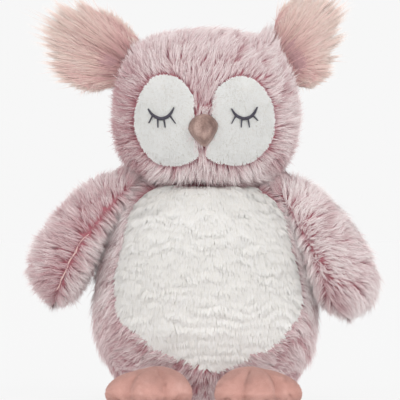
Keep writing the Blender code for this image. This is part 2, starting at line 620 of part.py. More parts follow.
# ------------------------------------------------------------------ wings
def wing(side, w):
    sgn = -1 if side == "left" else 1
    mid = np.array(w["mid"], float)
    s = np.concatenate([[0], np.cumsum(np.linalg.norm(np.diff(mid, axis=0), axis=1))])
    length = s[-1]
    u = s / length
    fx, fz = smooth(u, mid[:, 0]), smooth(u, mid[:, 1])
    fd, fo, fi, fy = smooth(u, w["depth"]), smooth(u, w["out"]), smooth(u, w["inn"]), smooth(u, w["y"])
    toe = radians(w["toe"])
    group("wing_" + side, (mid[0][0], 0, mid[0][1]))

    def section(t, theta, inset_by, gap=0.0):
        """theta 0 at the front seam, pi at the back seam; the outward half between them."""
        tt = t * (1 - inset_by / length)
        c = np.array([fx(tt), fy(tt), fz(tt)])
        e = 0.01
        d = np.array([fx(min(1, tt + e)) - fx(max(0, tt - e)), 0, fz(min(1, tt + e)) - fz(max(0, tt - e))])
        d /= np.linalg.norm(d)
        out = np.array([d[2], 0, -d[0]]) * (1 if sgn < 0 else -1)
        out = out * (1 if out[0] * sgn > 0 else -1)
        fwd = np.array([0.0, -1.0, 0.0])
        # the front edge leans in towards the body
        fwd_t = fwd * cos(toe) - out * sin(toe)
        out_t = out * cos(toe) + fwd * sin(toe)
        # each size shrinks to nothing at the tip in a round end
        D = max(0.0, fd(t) - inset_by) if t < 1 else 0.0
        side_t = (fo(t) if sin(theta) >= 0 else fi(t))
        T = max(0.0, side_t - inset_by) if t < 1 else 0.0
        p = c + fwd_t * D * cos(theta) + out_t * T * sin(theta)
        return tuple(p + out * gap)

    ts = [0, 0.12, 0.26, 0.42, 0.58, 0.72, 0.84, 0.92, 0.97, 1.0]
    for name, start, g in (("outer", 0.0, 0.3), ("inner", pi, -0.3)):
        cols = 10
        outer = [[section(t, start + pi * i / cols, 0.0, g) for i in range(cols + 1)] for t in ts]
        inner = [[section(t, start + pi * i / cols, FUR_T, g) for i in range(cols + 1)] for t in ts]
        add_shell("wing_%s_%s" % (side, name), outer, inner, "rose_fur", "wing_" + side)
    rows = []
    for t in ts:
        rows.append([section(t * 0.985, 2 * pi * i / 20, FUR_T + GAP + 0.35) for i in range(20)])
    tip = np.mean(np.array(rows[-1]), axis=0)
    rows[-1] = [tuple(tip)] * 20
    add("wing_%s_stuffing" % side, loft(rows), "stuffing_fibre", "wing_" + side)


wing("left", WING_LEFT)
wing("right", WING_RIGHT)


# ------------------------------------------------------------------ feet
def foot(side, f):
    cx, cy = f["at"]
    turn = radians(f["turn"])
    group("foot_" + side, (cx, cy + 20.5, 14.0))
    fwd = np.array([-sin(turn), -cos(turn)])
    lat = np.array([cos(turn), -sin(turn)])

    def reach(th):
        """How far the outline is from the middle: the furthest lobe along this ray, blended."""
        d = np.array([cos(th), sin(th)])
        best = []
        for u, v, r in f["lobes"]:
            c = np.array([u, -v])
            along = float(c @ d)
            off = r * r - (float(c @ c) - along * along)
            if off > 0:
                best.append(along + sqrt(off))
        best = [b for b in best if b > 0]
        return sum(b**14 for b in best) ** (1 / 14) if best else 5.0

    count = 40
    angles = [2 * pi * i / count for i in range(count)]
    base = [reach(t) for t in angles]

    def at(i, s, by=0.0):
        r = (base[i] - by) * s
        p = np.array([cx, cy]) + fwd * r * cos(angles[i]) + lat * r * sin(angles[i])
        return p

    def height(i, s, less=0.0):
        k = 1.0 - 0.10 * cos(angles[i]) * s          # lower towards the toes
        return 2.0 + (FOOT_H * k - less) * max(0.0, 1 - s**3.0) ** 0.55

    steps = [0.0, 0.35, 0.62, 0.8, 0.91, 0.97, 1.0]
    bm = bmesh.new()
    top = [[bm.verts.new(place((*at(i, s), height(i, s)))) for i in range(count)] for s in steps]
    low = [[bm.verts.new(place((*at(i, s, VELOUR_T), height(i, s, VELOUR_T)))) for i in range(count)] for s in steps]
    for r in range(len(steps) - 1):
        for i in range(count):
            j = (i + 1) % count
            bm.faces.new((top[r][i], top[r + 1][i], top[r + 1][j], top[r][j]))
            bm.faces.new((low[r][j], low[r + 1][j], low[r + 1][i], low[r][i]))
    for i in range(count):
        j = (i + 1) % count
        bm.faces.new((top[-1][i], low[-1][i], low[-1][j], top[-1][j]))
    bmesh.ops.remove_doubles(bm, verts=bm.verts[:], dist=2e-6)
    bmesh.ops.dissolve_degenerate(bm, dist=1e-6, edges=bm.edges[:])
    add("foot_%s_upper" % side, bm, "salmon_velour", "foot_" + side)

    bm = bmesh.new()
    loop = [bm.verts.new(place((*at(i, 1.0, 0.4), 0.0))) for i in range(count)]
    face = bm.faces.new(loop)
    up = bmesh.ops.extrude_face_region(bm, geom=[face])
    bmesh.ops.translate(bm, verts=[v for v in up["geom"] if isinstance(v, bmesh.types.BMVert)], vec=(0, 0, 1.5 * MM))
    add("foot_%s_sole" % side, bm, "salmon_velour", "foot_" + side)

    inset_by = VELOUR_T + GAP + 0.3
    rows = [[(*at(i, 0.001, inset_by), 2.0) for i in range(count)]]
    rows[0] = [(*at(0, 0.0, inset_by), 2.0)] * count
    rows.append([(*at(i, 0.6, inset_by), 2.0) for i in range(count)])
    rows.append([(*at(i, 0.97, inset_by), 2.0) for i in range(count)])
    for s in (0.95, 0.88, 0.76, 0.58, 0.32):
        rows.append([(*at(i, s, inset_by), height(i, s, inset_by + 0.2)) for i in range(count)])
    rows.append([(*at(0, 0.0), height(0, 0.0, inset_by + 0.2))] * count)
    add("foot_%s_stuffing" % side, loft(rows), "stuffing_fibre", "foot_" + side)


foot("left", FOOT_LEFT)
foot("right", FOOT_RIGHT)
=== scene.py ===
"""Looks of a stuffed toy owl that sits upright: long frosted fur, a white rippled belly, velboa eye
discs with sewn sleeping eyes, a gathered satin beak, long silky ear tufts and velour feet.

Every panel is a sheet of backing cloth with real thickness, and its pile is grown from it as
strands of mesh, lock by lock, so that the fur is the shape and not only a picture of it.
Sizes here are in millimetres in the owl's own frame (it faces -Y); meshes are made in metres.
"""
from math import cos, pi, radians, sin, sqrt

import bmesh
import bpy
import numpy as np
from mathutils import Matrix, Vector
from mathutils.kdtree import KDTree

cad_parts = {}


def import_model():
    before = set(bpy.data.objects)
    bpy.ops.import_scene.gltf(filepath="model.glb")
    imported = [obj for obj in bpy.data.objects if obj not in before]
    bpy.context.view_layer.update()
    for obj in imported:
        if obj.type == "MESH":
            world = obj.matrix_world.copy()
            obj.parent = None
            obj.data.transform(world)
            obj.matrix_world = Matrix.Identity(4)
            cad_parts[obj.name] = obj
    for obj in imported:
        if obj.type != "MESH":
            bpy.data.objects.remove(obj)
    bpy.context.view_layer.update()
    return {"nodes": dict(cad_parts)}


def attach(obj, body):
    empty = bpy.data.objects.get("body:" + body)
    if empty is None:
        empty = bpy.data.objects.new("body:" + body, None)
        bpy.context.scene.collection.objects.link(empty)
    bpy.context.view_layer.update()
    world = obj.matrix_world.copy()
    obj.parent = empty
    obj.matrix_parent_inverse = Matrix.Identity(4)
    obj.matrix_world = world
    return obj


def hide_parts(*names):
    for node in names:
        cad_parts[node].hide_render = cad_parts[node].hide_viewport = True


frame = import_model()
scene = bpy.context.scene

SHIFT = np.array([1.21, 21.27, 0.0])     # the owl's middle in the model's frame, mm


# ------------------------------------------------------------------ curves and noise
class Line:
    """A monotone cubic through points, for arrays."""

    def __init__(self, xs, ys):
        xs, ys = np.asarray(xs, float), np.asarray(ys, float)
        order = np.argsort(xs)
        xs, ys = xs[order], ys[order]
        h = np.diff(xs)
        slope = np.diff(ys) / h
        t = np.zeros(len(xs))
        for i in range(1, len(xs) - 1):
            if slope[i - 1] * slope[i] > 0:
                w1, w2 = 2 * h[i] + h[i - 1], h[i] + 2 * h[i - 1]
                t[i] = (w1 + w2) / (w1 / slope[i - 1] + w2 / slope[i])
        t[0], t[-1] = slope[0], slope[-1]
        self.xs, self.ys, self.h, self.t = xs, ys, h, t

    def __call__(self, x):
        x = np.clip(np.asarray(x, float), self.xs[0], self.xs[-1])
        i = np.clip(np.searchsorted(self.xs, x) - 1, 0, len(self.xs) - 2)
        h, u = self.h[i], (x - self.xs[i]) / self.h[i]
        return ((2 * u**3 - 3 * u**2 + 1) * self.ys[i] + (u**3 - 2 * u**2 + u) * h * self.t[i]
                + (3 * u**2 - 2 * u**3) * self.ys[i + 1] + (u**3 - u**2) * h * self.t[i + 1])


def _lattice(ix, iy, iz, seed):
    h = (ix * 374761393 + iy * 668265263 + iz * 2147483647 + seed * 974711) & 0xFFFFFFFF
    h = ((h ^ (h >> 13)) * 1274126177) & 0xFFFFFFFF
    h = h ^ (h >> 16)
    return h / 2147483648.0 - 1.0


def noise(p, size, seed=0):
    """Smooth noise from -1 to 1 over points (n, 3), with features of about the given size in mm."""
    q = np.asarray(p, float) / size + 100.0
    i = np.floor(q).astype(np.int64)
    f = q - i
    f = f * f * (3 - 2 * f)
    out = 0.0
    for dx in (0, 1):
        wx = f[..., 0] if dx else 1 - f[..., 0]
        for dy in (0, 1):
            wy = f[..., 1] if dy else 1 - f[..., 1]
            for dz in (0, 1):
                wz = f[..., 2] if dz else 1 - f[..., 2]
                out = out + wx * wy * wz * _lattice(i[..., 0] + dx, i[..., 1] + dy, i[..., 2] + dz, seed)
    return out


def noise3(p, size, seed=0):
    return np.stack([noise(p, size, seed), noise(p, size, seed + 31), noise(p, size, seed + 77)], -1)


def unit(v):
    return v / np.maximum(np.linalg.norm(v, axis=-1, keepdims=True), 1e-9)


def along_skin(d, n):
    """The part of directions d that lies in the skin with normals n."""
    return unit(d - (d * n).sum(-1, keepdims=True) * n)


def world(p):
    return (np.asarray(p, float) + SHIFT) * 0.001


# ------------------------------------------------------------------ colours and materials
def srgb(code):
    c = [int(code[i:i + 2], 16) / 255 for i in (1, 3, 5)]
    return tuple(x / 12.92 if x <= 0.04045 else ((x + 0.055) / 1.055) ** 2.4 for x in c) + (1.0,)


class Nodes:
    """Short names for building a material's nodes."""

    def __init__(self, name, rough, sheen=0.0, sheen_rough=0.5, sheen_tint="#FFFFFF", specular=0.3):
        self.m = bpy.data.materials.new(name)
        self.m.use_nodes = True
        self.t = self.m.node_tree
        self.b = self.t.nodes["Principled BSDF"]
        self.b.inputs["Roughness"].default_value = rough
        self.b.inputs["Specular IOR Level"].default_value = specular
        self.b.inputs["Sheen Weight"].default_value = sheen
        self.b.inputs["Sheen Roughness"].default_value = sheen_rough
        self.b.inputs["Sheen Tint"].default_value = srgb(sheen_tint)

    def node(self, kind, **values):
        n = self.t.nodes.new(kind)
        for k, v in values.items():
            setattr(n, k, v)
        return n

    def link(self, a, b):
        self.t.links.new(a, b)

    def ramp(self, fac, stops, mode="LINEAR"):
        n = self.node("ShaderNodeValToRGB")
        n.color_ramp.interpolation = mode
        e = n.color_ramp.elements
        while len(e) > 1:
            e.remove(e[-1])
        e[0].position, e[0].color = stops[0][0], self._rgb(stops[0][1])
        for at, c in stops[1:]:
            e.new(at).color = self._rgb(c)
        self.link(fac, n.inputs["Fac"])
        return n.outputs["Color"]

    @staticmethod
    def _rgb(c):
        return srgb(c) if isinstance(c, str) else (c, c, c, 1.0)

    def mix(self, fac, a, b, blend="MIX"):
        n = self.node("ShaderNodeMix", data_type="RGBA", blend_type=blend)
        if isinstance(fac, (int, float)):
            n.inputs[0].default_value = fac
        else:
            self.link(fac, n.inputs[0])
        for socket, value in ((n.inputs[6], a), (n.inputs[7], b)):
            if isinstance(value, str):
                socket.default_value = srgb(value)
            else:
                self.link(value, socket)
        return n.outputs[2]

    def math(self, op, a, b=0.0, clamp=False):
        n = self.node("ShaderNodeMath", operation=op, use_clamp=clamp)
        for i, v in enumerate((a, b)):
            if isinstance(v, (int, float)):
                n.inputs[i].default_value = v
            else:
                self.link(v, n.inputs[i])
        return n.outputs[0]

    def noise(self, scale, detail=2.0, rough=0.5, vector=None, distortion=0.0):
        n = self.node("ShaderNodeTexNoise")
        n.inputs["Scale"].default_value = scale
        n.inputs["Detail"].default_value = detail
        n.inputs["Roughness"].default_value = rough
        n.inputs["Distortion"].default_value = distortion
        self.link(vector or self.place(), n.inputs["Vector"])
        return n.outputs["Fac"]

    def place(self):
        if not hasattr(self, "_place"):
            self._place = self.node("ShaderNodeTexCoord").outputs["Object"]
        return self._place

    def stretched(self, scale, turn=(0, 0, 0)):
        n = self.node("ShaderNodeMapping")
        n.inputs["Scale"].default_value = scale
        n.inputs["Rotation"].default_value = turn
        self.link(self.place(), n.inputs["Vector"])
        return n.outputs["Vector"]

    def colour(self, socket):
        self.link(socket, self.b.inputs["Base Color"])

    def bump(self, height, strength, distance):
        n = self.node("ShaderNodeBump")
        n.inputs["Strength"].default_value = strength
        n.inputs["Distance"].default_value = distance
        self.link(height, n.inputs["Height"])
        self.link(n.outputs["Normal"], self.b.inputs["Normal"])
        return n

    def rough(self, socket):
        self.link(socket, self.b.inputs["Roughness"])


def pile_material(name, dark, light, dark2, light2, rough=0.75, sheen=0.12, tint="#FFF4F2"):
    """Pile dyed along each strand: the map's height runs from root to tip. Its left half holds the first
    pair of dyes, its right half the second, and in each half the tone runs from dark to light. The tone
    carries both the pile's own variation and the painted shade and painted light set where it is grown."""
    k = Nodes(name, rough, sheen=sheen, sheen_rough=0.6, sheen_tint=tint, specular=0.2)
    uv = k.node("ShaderNodeUVMap", uv_map="OFBake")
    sep = k.node("ShaderNodeSeparateXYZ")
    k.link(uv.outputs["UV"], sep.inputs[0])
    u, v = sep.outputs["X"], sep.outputs["Y"]
    half = k.math("GREATER_THAN", u, 0.5)
    tone = k.math("FRACT", k.math("MULTIPLY", u, 2.0))
    one = k.mix(tone, k.ramp(v, dark), k.ramp(v, light))
    two = k.mix(tone, k.ramp(v, dark2), k.ramp(v, light2))
    k.colour(k.mix(half, one, two))
    return k.m


def backing_material(name, low, high):
    """Knitted backing cloth: fine ribs with fibre mottling."""
    k = Nodes(name, 0.95, sheen=0.1, specular=0.1)
    mottle = k.noise(420.0, 3.0, 0.6)
    k.colour(k.ramp(mottle, [(0.3, low), (0.7, high)]))
    wave = k.node("ShaderNodeTexWave")
    wave.inputs["Scale"].default_value = 380.0
    wave.inputs["Distortion"].default_value = 3.0
    k.link(k.place(), wave.inputs["Vector"])
    k.bump(wave.outputs["Fac"], 0.5, 0.0003)
    return k.m


# ------------------------------------------------------------------ meshes
def put(name, verts, faces, material, body, smooth=True, replaces=()):
    mesh = bpy.data.meshes.new(name)
    mesh.from_pydata([tuple(p) for p in world(verts)], [], faces)
    mesh.validate()
    mesh.update()
    if smooth:
        mesh.shade_smooth()
    mesh.materials.append(material)
    ob = bpy.data.objects.new(name, mesh)
    scene.collection.objects.link(ob)
    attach(ob, body)
    if replaces:
        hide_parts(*replaces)
    return ob


def shell(outer, inner, wrap=False):
    """Points and faces of a sheet with thickness, from two grids (rows, columns, 3) of the same size."""
    rows, cols = outer.shape[:2]
    n = rows * cols
    at = np.arange(n).reshape(rows, cols)
    faces = []
    span = cols if wrap else cols - 1
    for r in range(rows - 1):
        for c in range(span):
            d = (c + 1) % cols
            faces.append((at[r, c], at[r, d], at[r + 1, d], at[r + 1, c]))
            faces.append((n + at[r, d], n + at[r, c], n + at[r + 1, c], n + at[r + 1, d]))
    for c in range(span):
        d = (c + 1) % cols
        faces.append((at[0, d], at[0, c], n + at[0, c], n + at[0, d]))
        faces.append((at[-1, c], at[-1, d], n + at[-1, d], n + at[-1, c]))
    if not wrap:
        for r in range(rows - 1):
            faces.append((at[r, 0], at[r + 1, 0], n + at[r + 1, 0], n + at[r, 0]))
            faces.append((at[r + 1, -1], at[r, -1], n + at[r, -1], n + at[r + 1, -1]))
    verts = np.concatenate([outer.reshape(-1, 3), inner.reshape(-1, 3)])
    return verts, [tuple(int(i) for i in f) for f in faces]


def normals_of(surface, u, v, e=2e-3):
    """Points, unit normals and the two unit directions of a surface(u, v) with u, v in 0..1."""
    u0, u1 = np.clip(u - e, 0, 1), np.clip(u + e, 0, 1)
    v0, v1 = np.clip(v - e, 0, 1), np.clip(v + e, 0, 1)
    du = (surface(u1, v) - surface(u0, v)) / (u1 - u0)[..., None]
    dv = (surface(u, v1) - surface(u, v0)) / (v1 - v0)[..., None]
    n = np.cross(dv, du)
    return surface(u, v), unit(n), unit(du), unit(dv)


def scatter(surface, region, spacing, seed, grid=(160, 320)):
    """u, v of points spread evenly over the part of a surface where region(u, v, p) holds, none nearer than spacing."""
    rng = np.random.default_rng(seed)
    nu, nv = grid
    u, v = np.meshgrid((np.arange(nu) + 0.5) / nu, (np.arange(nv) + 0.5) / nv, indexing="ij")
    u, v = u.ravel(), v.ravel()
    p = surface(u, v)
    e = 1e-3
    du = (surface(np.clip(u + e, 0, 1), v) - surface(np.clip(u - e, 0, 1), v)) / (2 * e)
    dv = (surface(u, np.clip(v + e, 0, 1)) - surface(u, np.clip(v - e, 0, 1))) / (2 * e)
    area = np.linalg.norm(np.cross(du, dv), axis=1) / (nu * nv) * region(u, v, p)
    total = area.sum()
    count = int(total / spacing**2 * 4.5)
    pick = np.searchsorted(np.cumsum(area) / total, rng.random(count)).clip(0, nu * nv - 1)
    uu = np.clip(u[pick] + (rng.random(count) - 0.5) / nu, 0, 1)
    vv = np.clip(v[pick] + (rng.random(count) - 0.5) / nv, 0, 1)
    p = surface(uu, vv)
    ok = region(uu, vv, p).astype(bool)
    uu, vv, p = uu[ok], vv[ok], p[ok]
    tree = KDTree(len(p))
    for i, q in enumerate(p):
        tree.insert(q, i)
    tree.balance()
    alive, keep = np.ones(len(p), bool), []
    for i in range(len(p)):
        if alive[i]:
            keep.append(i)
            for _, j, _ in tree.find_range(p[i], spacing):
                alive[j] = False
    return uu[keep], vv[keep]


# ------------------------------------------------------------------ pile
def crushed(p, n, size, seed):
    """Crushed plush parts along wandering lines: how near each point is to one, 0 to 1, and how far its tips are
    pushed away from it, in mm along the skin."""
    e = 0.4
    f = noise(p, size, seed)
    g = np.stack([noise(p + e * a, size, seed) - noise(p - e * a, size, seed) for a in np.eye(3)], -1) / (2 * e)
    g = g - (g * n).sum(-1, keepdims=True) * n
    steep = np.linalg.norm(g, axis=-1)
    away = f / np.maximum(steep, 0.35 / size)
    some = np.clip(0.75 + 0.9 * noise(p, size * 1.3, seed + 17), 0, 1)
    part = np.exp(-(away / 1.1) ** 2) * some
    push = g / np.maximum(steep, 1e-6)[:, None] * (np.tanh(away / 0.7) * np.exp(-(away / 4.0) ** 2) * some)[:, None]
    return part, push


def grow(centre, normal, nap, per, radius, length, rng, rise=0.5, reach=0.75, start=(0.42, 0.12), pull=0.6,
         stray=0.12, wander=None, width=0.40, tone=0.5, second=0.2, spread=20.0, steps=(0.0, 0.5, 1.0),
         vary=0.14, taper=0.62, allow=None, shade=0.75, fan=0.45, curl=0.0, tone_vary=0.16, lean=None, plain=0.0,
         face=None):
    """Locks of hair. Each lock starts in a round patch of the skin and draws together towards its tip.

    rise and reach are how far up and along the nap a tip ends, as shares of the length; pull is how much
    a lock's tips close up; wander is a shift of the tips, in mm; the strands are flat ribbons turned a
    little at random; plain is how much darker the few strands are that the frosting missed; face is where the
    ribbons face, if not straight out of the skin. Returns everything that `hair` needs to make a mesh."""
    k = len(centre)
    per = np.broadcast_to(per, (k,))
    idx = np.repeat(np.arange(k), per)
    n = len(idx)

    def each(x):
        """A value for each strand as a column, from one number or one for each lock."""
        x = np.asarray(x, float)
        return x.reshape(1, 1) if x.ndim == 0 else x[idx][:, None]

    N, D = normal[idx], nap[idx]
    F = N if face is None else face[idx]
    B = np.cross(N, D)
    ang, rad = rng.random(n) * 2 * pi, np.sqrt(rng.random(n))
    off = ((np.cos(ang) * rad)[:, None] * D + (np.sin(ang) * rad)[:, None] * B) * each(radius)
    root = centre[idx] + off - 0.25 * N
    if allow is not None:
        ok = allow(root)
        idx, N, D, B, F, off, root, rad = idx[ok], N[ok], D[ok], B[ok], F[ok], off[ok], root[ok], rad[ok]
        n = len(idx)
    L = each(length) * (1 + vary * rng.standard_normal((n, 1))).clip(0.55, 1.5) * (1 - 0.12 * rad[:, None]**2)
    jitter = rng.standard_normal((n, 3)) * stray * L
    drift = 0.0 if wander is None else wander[idx]
    tip = root + N * (each(rise) * L) + D * (each(reach) * L) - off * each(pull) + jitter + drift
    mid = root + N * (start[0] * L) + D * (start[1] * L) + jitter * 0.25 + drift * 0.25
    if curl:
        mid = mid + B * (curl * L * rng.choice([-1, 1], (n, 1)))
    soft = unit(F + off / np.maximum(each(radius), 1e-6) * fan + (0.0 if lean is None else lean[idx]))
    # each strand's tone: its own dye, plus the painted shade and painted light that the growers set by position
    dye_and_painted_shade = each(tone)[:, 0] + each(tone_vary)[:, 0] * rng.standard_normal(n) - plain * (rng.random(n) < 0.2)
    return ribbons(root, mid, tip, F, soft, rng, each(width)[:, 0], dye_and_painted_shade, rng.random(n) < each(second)[:, 0],
                   spread, steps, taper, shade)


def ribbons(root, mid, tip, N, soft, rng, width, tone, fam, spread=50.0, steps=(0.0, 0.5, 1.0), taper=0.6, shade=0.75):
    """Strands along curves from root over mid to tip, as ribbons that face away from the skin, each turned a little."""
    n = len(root)
    ts = np.array(steps)
    a, b, c = (1 - ts) ** 2, 2 * ts * (1 - ts), ts**2
    line = a[None, :, None] * root[:, None] + b[None, :, None] * mid[:, None] + c[None, :, None] * tip[:, None]
    tangent = unit((2 * (1 - ts))[None, :, None] * (mid - root)[:, None] + (2 * ts)[None, :, None] * (tip - mid)[:, None])
    across = unit(np.cross(tangent, N[:, None]))
    out = np.cross(across, tangent)
    turn = radians(spread) * rng.uniform(-1, 1, n)
    side = across * np.cos(turn)[:, None, None] + out * np.sin(turn)[:, None, None]
    flat = out * np.cos(turn)[:, None, None] - across * np.sin(turn)[:, None, None]
    w = (np.asarray(width) * rng.uniform(0.75, 1.2, n))[:, None] * (1 - ts[None, :]) ** taper * 0.5
    s = len(ts)
    co = np.empty((n, 2 * s - 1, 3))
    co[:, 0:2 * s - 2:2] = (line - side * w[:, :, None])[:, :-1]
    co[:, 1:2 * s - 2:2] = (line + side * w[:, :, None])[:, :-1]
    co[:, -1] = line[:, -1]
    nn = unit(soft[:, None] * shade + flat * (1 - shade))
    no = np.empty_like(co)
    no[:, 0:2 * s - 2:2] = nn[:, :-1]
    no[:, 1:2 * s - 2:2] = nn[:, :-1]
    no[:, -1] = nn[:, -1]
    return dict(co=co, no=no, tone=np.clip(tone, 0.02, 0.98), fam=fam, ts=ts)


def to_front(p, n, much=0.7, middle=8.0):
    """Skin normals turned to the front or the back, whichever is nearer, so that pile at a rim is seen face on."""
    return unit(n + np.stack([0 * p[:, 1], much * np.tanh((p[:, 1] - middle) / 14), 0 * p[:, 1]], 1))


def hair(name, parts, material, body, replaces=()):
    """One mesh from grown strands."""
    co, no, uv, loops, starts = [], [], [], [], []
    base = corner = 0
    for g in parts:
        n, vs = g["co"].shape[:2]
        s = len(g["ts"])
        pattern, sizes, pv, pside = [], [], [], []
        for i in range(s - 2):
            pattern += [2 * i, 2 * i + 1, 2 * i + 3, 2 * i + 2]
            pv += [i, i, i + 1, i + 1]
            pside += [0, 1, 1, 0]
            sizes.append(4)
        pattern += [2 * s - 4, 2 * s - 3, 2 * s - 2]
        pv += [s - 2, s - 2, s - 1]
        pside += [0, 1, 0.5]
        sizes.append(3)
        pattern, sizes = np.array(pattern), np.array(sizes)
        co.append(g["co"].reshape(-1, 3))
        no.append(g["no"].reshape(-1, 3))
        loops.append((pattern[None] + (base + np.arange(n) * vs)[:, None]).ravel())
        first = np.concatenate([[0], np.cumsum(sizes)[:-1]])
        starts.append((first[None] + (corner + np.arange(n) * sizes.sum())[:, None]).ravel())
        v = g["ts"][np.array(pv)][None].repeat(n, 0)
        if "late" in g:
            v = g["late"][:, None] + (1 - g["late"][:, None]) * v
        u = g["fam"][:, None] * 0.5 + 0.012 + g["tone"][:, None] * 0.466 + np.array(pside)[None] * 0.012
        uv.append(np.stack([u, 0.004 + v * 0.992], -1).reshape(-1, 2))
        base += n * vs
        corner += n * int(sizes.sum())
    co, no, uv = np.concatenate(co), np.concatenate(no), np.concatenate(uv)
    loops, starts = np.concatenate(loops), np.concatenate(starts)
    co[:, 2] = np.maximum(co[:, 2], 0.2)          # what reaches the ground lies on it
    mesh = bpy.data.meshes.new(name)
    mesh.vertices.add(len(co))
    mesh.vertices.foreach_set("co", world(co).astype(np.float32).ravel())
    mesh.loops.add(len(loops))
    mesh.loops.foreach_set("vertex_index", loops.astype(np.int32))
    mesh.polygons.add(len(starts))
    mesh.polygons.foreach_set("loop_start", starts.astype(np.int32))
    layer = mesh.uv_layers.new(name="OFBake")
    layer.uv.foreach_set("vector", uv.astype(np.float32).ravel())
    mesh.update(calc_edges=True)
    soft = mesh.attributes.new("custom_normal", "FLOAT_VECTOR", "POINT")
    soft.data.foreach_set("vector", no.astype(np.float32).ravel())
    mesh.materials.append(material)
    ob = bpy.data.objects.new(name, mesh)
    scene.collection.objects.link(ob)
    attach(ob, body)
    if replaces:
        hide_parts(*replaces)
    print("hair", name, len(co), "points", len(starts), "faces")
    return ob


# ------------------------------------------------------------------ the owl's sizes, mm
BODY = [
    (0.4, 46.0, 40.0), (2.5, 50.0, 44.5), (6.0, 53.6, 48.5), (11.0, 57.0, 51.5),
    (16.5, 60.0, 54.0), (22.1, 62.8, 56.0), (33.0, 67.2, 59.0), (46.0, 69.6, 61.0),
    (60.0, 70.0, 61.5), (76.0, 69.0, 61.0), (92.0, 66.2, 58.8), (108.0, 61.4, 54.8),
    (120.0, 55.4, 49.4), (128.0, 49.6, 44.6), (133.5, 43.5, 39.5), (137.2, 37.0, 34.0),
    (139.0, 31.0, 29.0),
]
BELLY_FOOT = 22.1
SEAM_LEFT = [(22.1, 0.6), (25, -5), (28.6, -13), (33.8, -28), (38.4, -35), (45.5, -43.5), (52.7, -52), (64.4, -55.8),
             (77.4, -56.6), (97, -52.6), (108.6, -50), (123, -46), (133, -39), (139, -28.5)]
SEAM_RIGHT = [(22.1, 4.6), (25.4, 17.5), (31.9, 27), (35.1, 37.5), (41.6, 46.5), (48, 51), (54.6, 57),
              (67.6, 59.6), (74, 59), (90.4, 56), (100, 53), (115, 49), (130, 42), (139, 28.5)]
HEAD_N = 2.25
HEAD = [
    (145.0, 31.0, 29.0), (145.6, 36.5, 34.0), (147.2, 41.5, 38.4), (150.4, 46.4, 42.6),
    (155.0, 50.6, 46.0), (161.0, 53.9, 48.3), (168.0, 56.0, 49.6), (178.0, 57.0, 50.2), (188.0, 57.2, 50.2),
    (198.0, 56.4, 49.2), (208.0, 54.6, 47.4), (218.0, 50.6, 43.8), (226.0, 44.6, 38.6),
    (232.0, 35.6, 31.0), (235.6, 24.0, 21.0), (237.0, 13.0, 11.5), (237.5, 0.0, 0.0),
]
PIVOT_Z = 144.0
NECK_R = 26.0
DISC_LEFT = [(-28.1, 209.4), (-20.5, 208.4), (-15.4, 204.5), (-11, 199.6), (-8.4, 194.6), (-8.0, 186), (-7.6, 177),
             (-7.4, 169), (-6.6, 163.4), (-5.0, 158.8), (-8.2, 154.2), (-15, 151.4), (-24.9, 150.6), (-32.6, 153.1),
             (-40.8, 161.3), (-45.6, 172.5), (-46.7, 182), (-44, 194.3), (-38.3, 203.9), (-32.6, 208.7)]
DISC_RIGHT = [(23.4, 208.3), (15.8, 206.8), (10.2, 203.2), (6.6, 198.8), (4.8, 193), (4.4, 186), (3.8, 177), (2.4, 170),
              (1.0, 163.4), (-0.6, 158.2), (5.4, 153.2), (13, 151.4), (20.8, 151.2), (29.8, 153.6), (38, 160.2),
              (43.0, 168.5), (44.4, 177), (43.2, 189.5), (37.8, 199.8), (31.2, 206.2)]
BEAK = [(-11.1, 175.4), (-9.2, 180.4), (-5.2, 183.2), (-0.8, 184.2), (3.8, 182.4), (7.2, 178.2), (7.0, 174.0),
        (5.2, 170.4), (2.9, 166.6), (-0.6, 163.6), (-4.8, 166.0), (-8.1, 169.4), (-10.3, 172.4)]
LID_LEFT = [(-37.2, 187.6), (-35.2, 184.5), (-32.4, 182.4), (-28.8, 181.2), (-25.3, 182.1), (-22.6, 184.6), (-20.5, 188.3)]
LASHES_LEFT = [(-34.2, -36.7, 178.5), (-31.0, -30.8, 175.5), (-27.0, -26.2, 175.5), (-23.4, -19.5, 178.0)]
LID_RIGHT = [(16.2, 187.6), (18.3, 184.3), (21.0, 182.2), (24.4, 181.2), (28.0, 182.2), (30.8, 184.7), (32.9, 188.7)]
LASHES_RIGHT = [(19.0, 16.2, 177.8), (22.8, 22.4, 175.5), (26.8, 27.7, 175.5), (29.9, 33.3, 179.9)]
EAR_LEFT = [(-44.3, 233.9), (-52, 241), (-62, 250), (-74, 258), (-84, 260.5), (-94, 255), (-102, 246), (-106.5, 235),
            (-107, 224), (-101, 213), (-92, 206.5), (-80, 202.5), (-68.5, 201), (-60.9, 204.4)]
EAR_RIGHT = [(43.5, 233.8), (45.5, 243), (50, 253), (57, 260.5), (66, 263.0), (77, 261), (85.5, 254), (88, 244),
             (87, 233), (84, 221), (79, 211), (72, 204.5), (66, 202), (60, 205)]
WING_LEFT = dict(side=-1, mid=[(-51.0, 137.5), (-57.0, 130.5), (-65.7, 119.6), (-75.4, 106.6), (-83.5, 93.6), (-89.7, 81.6),
                      (-94.8, 70.5), (-98.4, 62.8)],
                 depth=[12, 16.5, 22, 26, 28, 27, 20.5, 0],
                 out=[12.0, 18.0, 21.4, 23.8, 24.6, 23.2, 17.5, 0],
                 inn=[4, 5.5, 7.5, 9.8, 11.6, 11.6, 9, 0], toe=-2.0, y=[-4, -5, -7, -9, -10, -10, -10, -10])
WING_RIGHT = dict(side=1, mid=[(51.0, 136.5), (58.5, 129.5), (68.5, 117.5), (77.5, 103.5), (84.0, 89.5), (88.6, 75.5),
                       (91.0, 63.5), (91.6, 54.0)],
                  depth=[12, 16.5, 22, 26, 28, 27, 20.5, 0],
                  out=[7.0, 10.6, 13.6, 16.0, 18.2, 19.2, 15.4, 0],
                  inn=[4, 5.5, 8.0, 10.5, 12.4, 13.6, 12.6, 0], toe=27.0, y=[-5, -7, -10, -13, -14, -14, -13, -13])
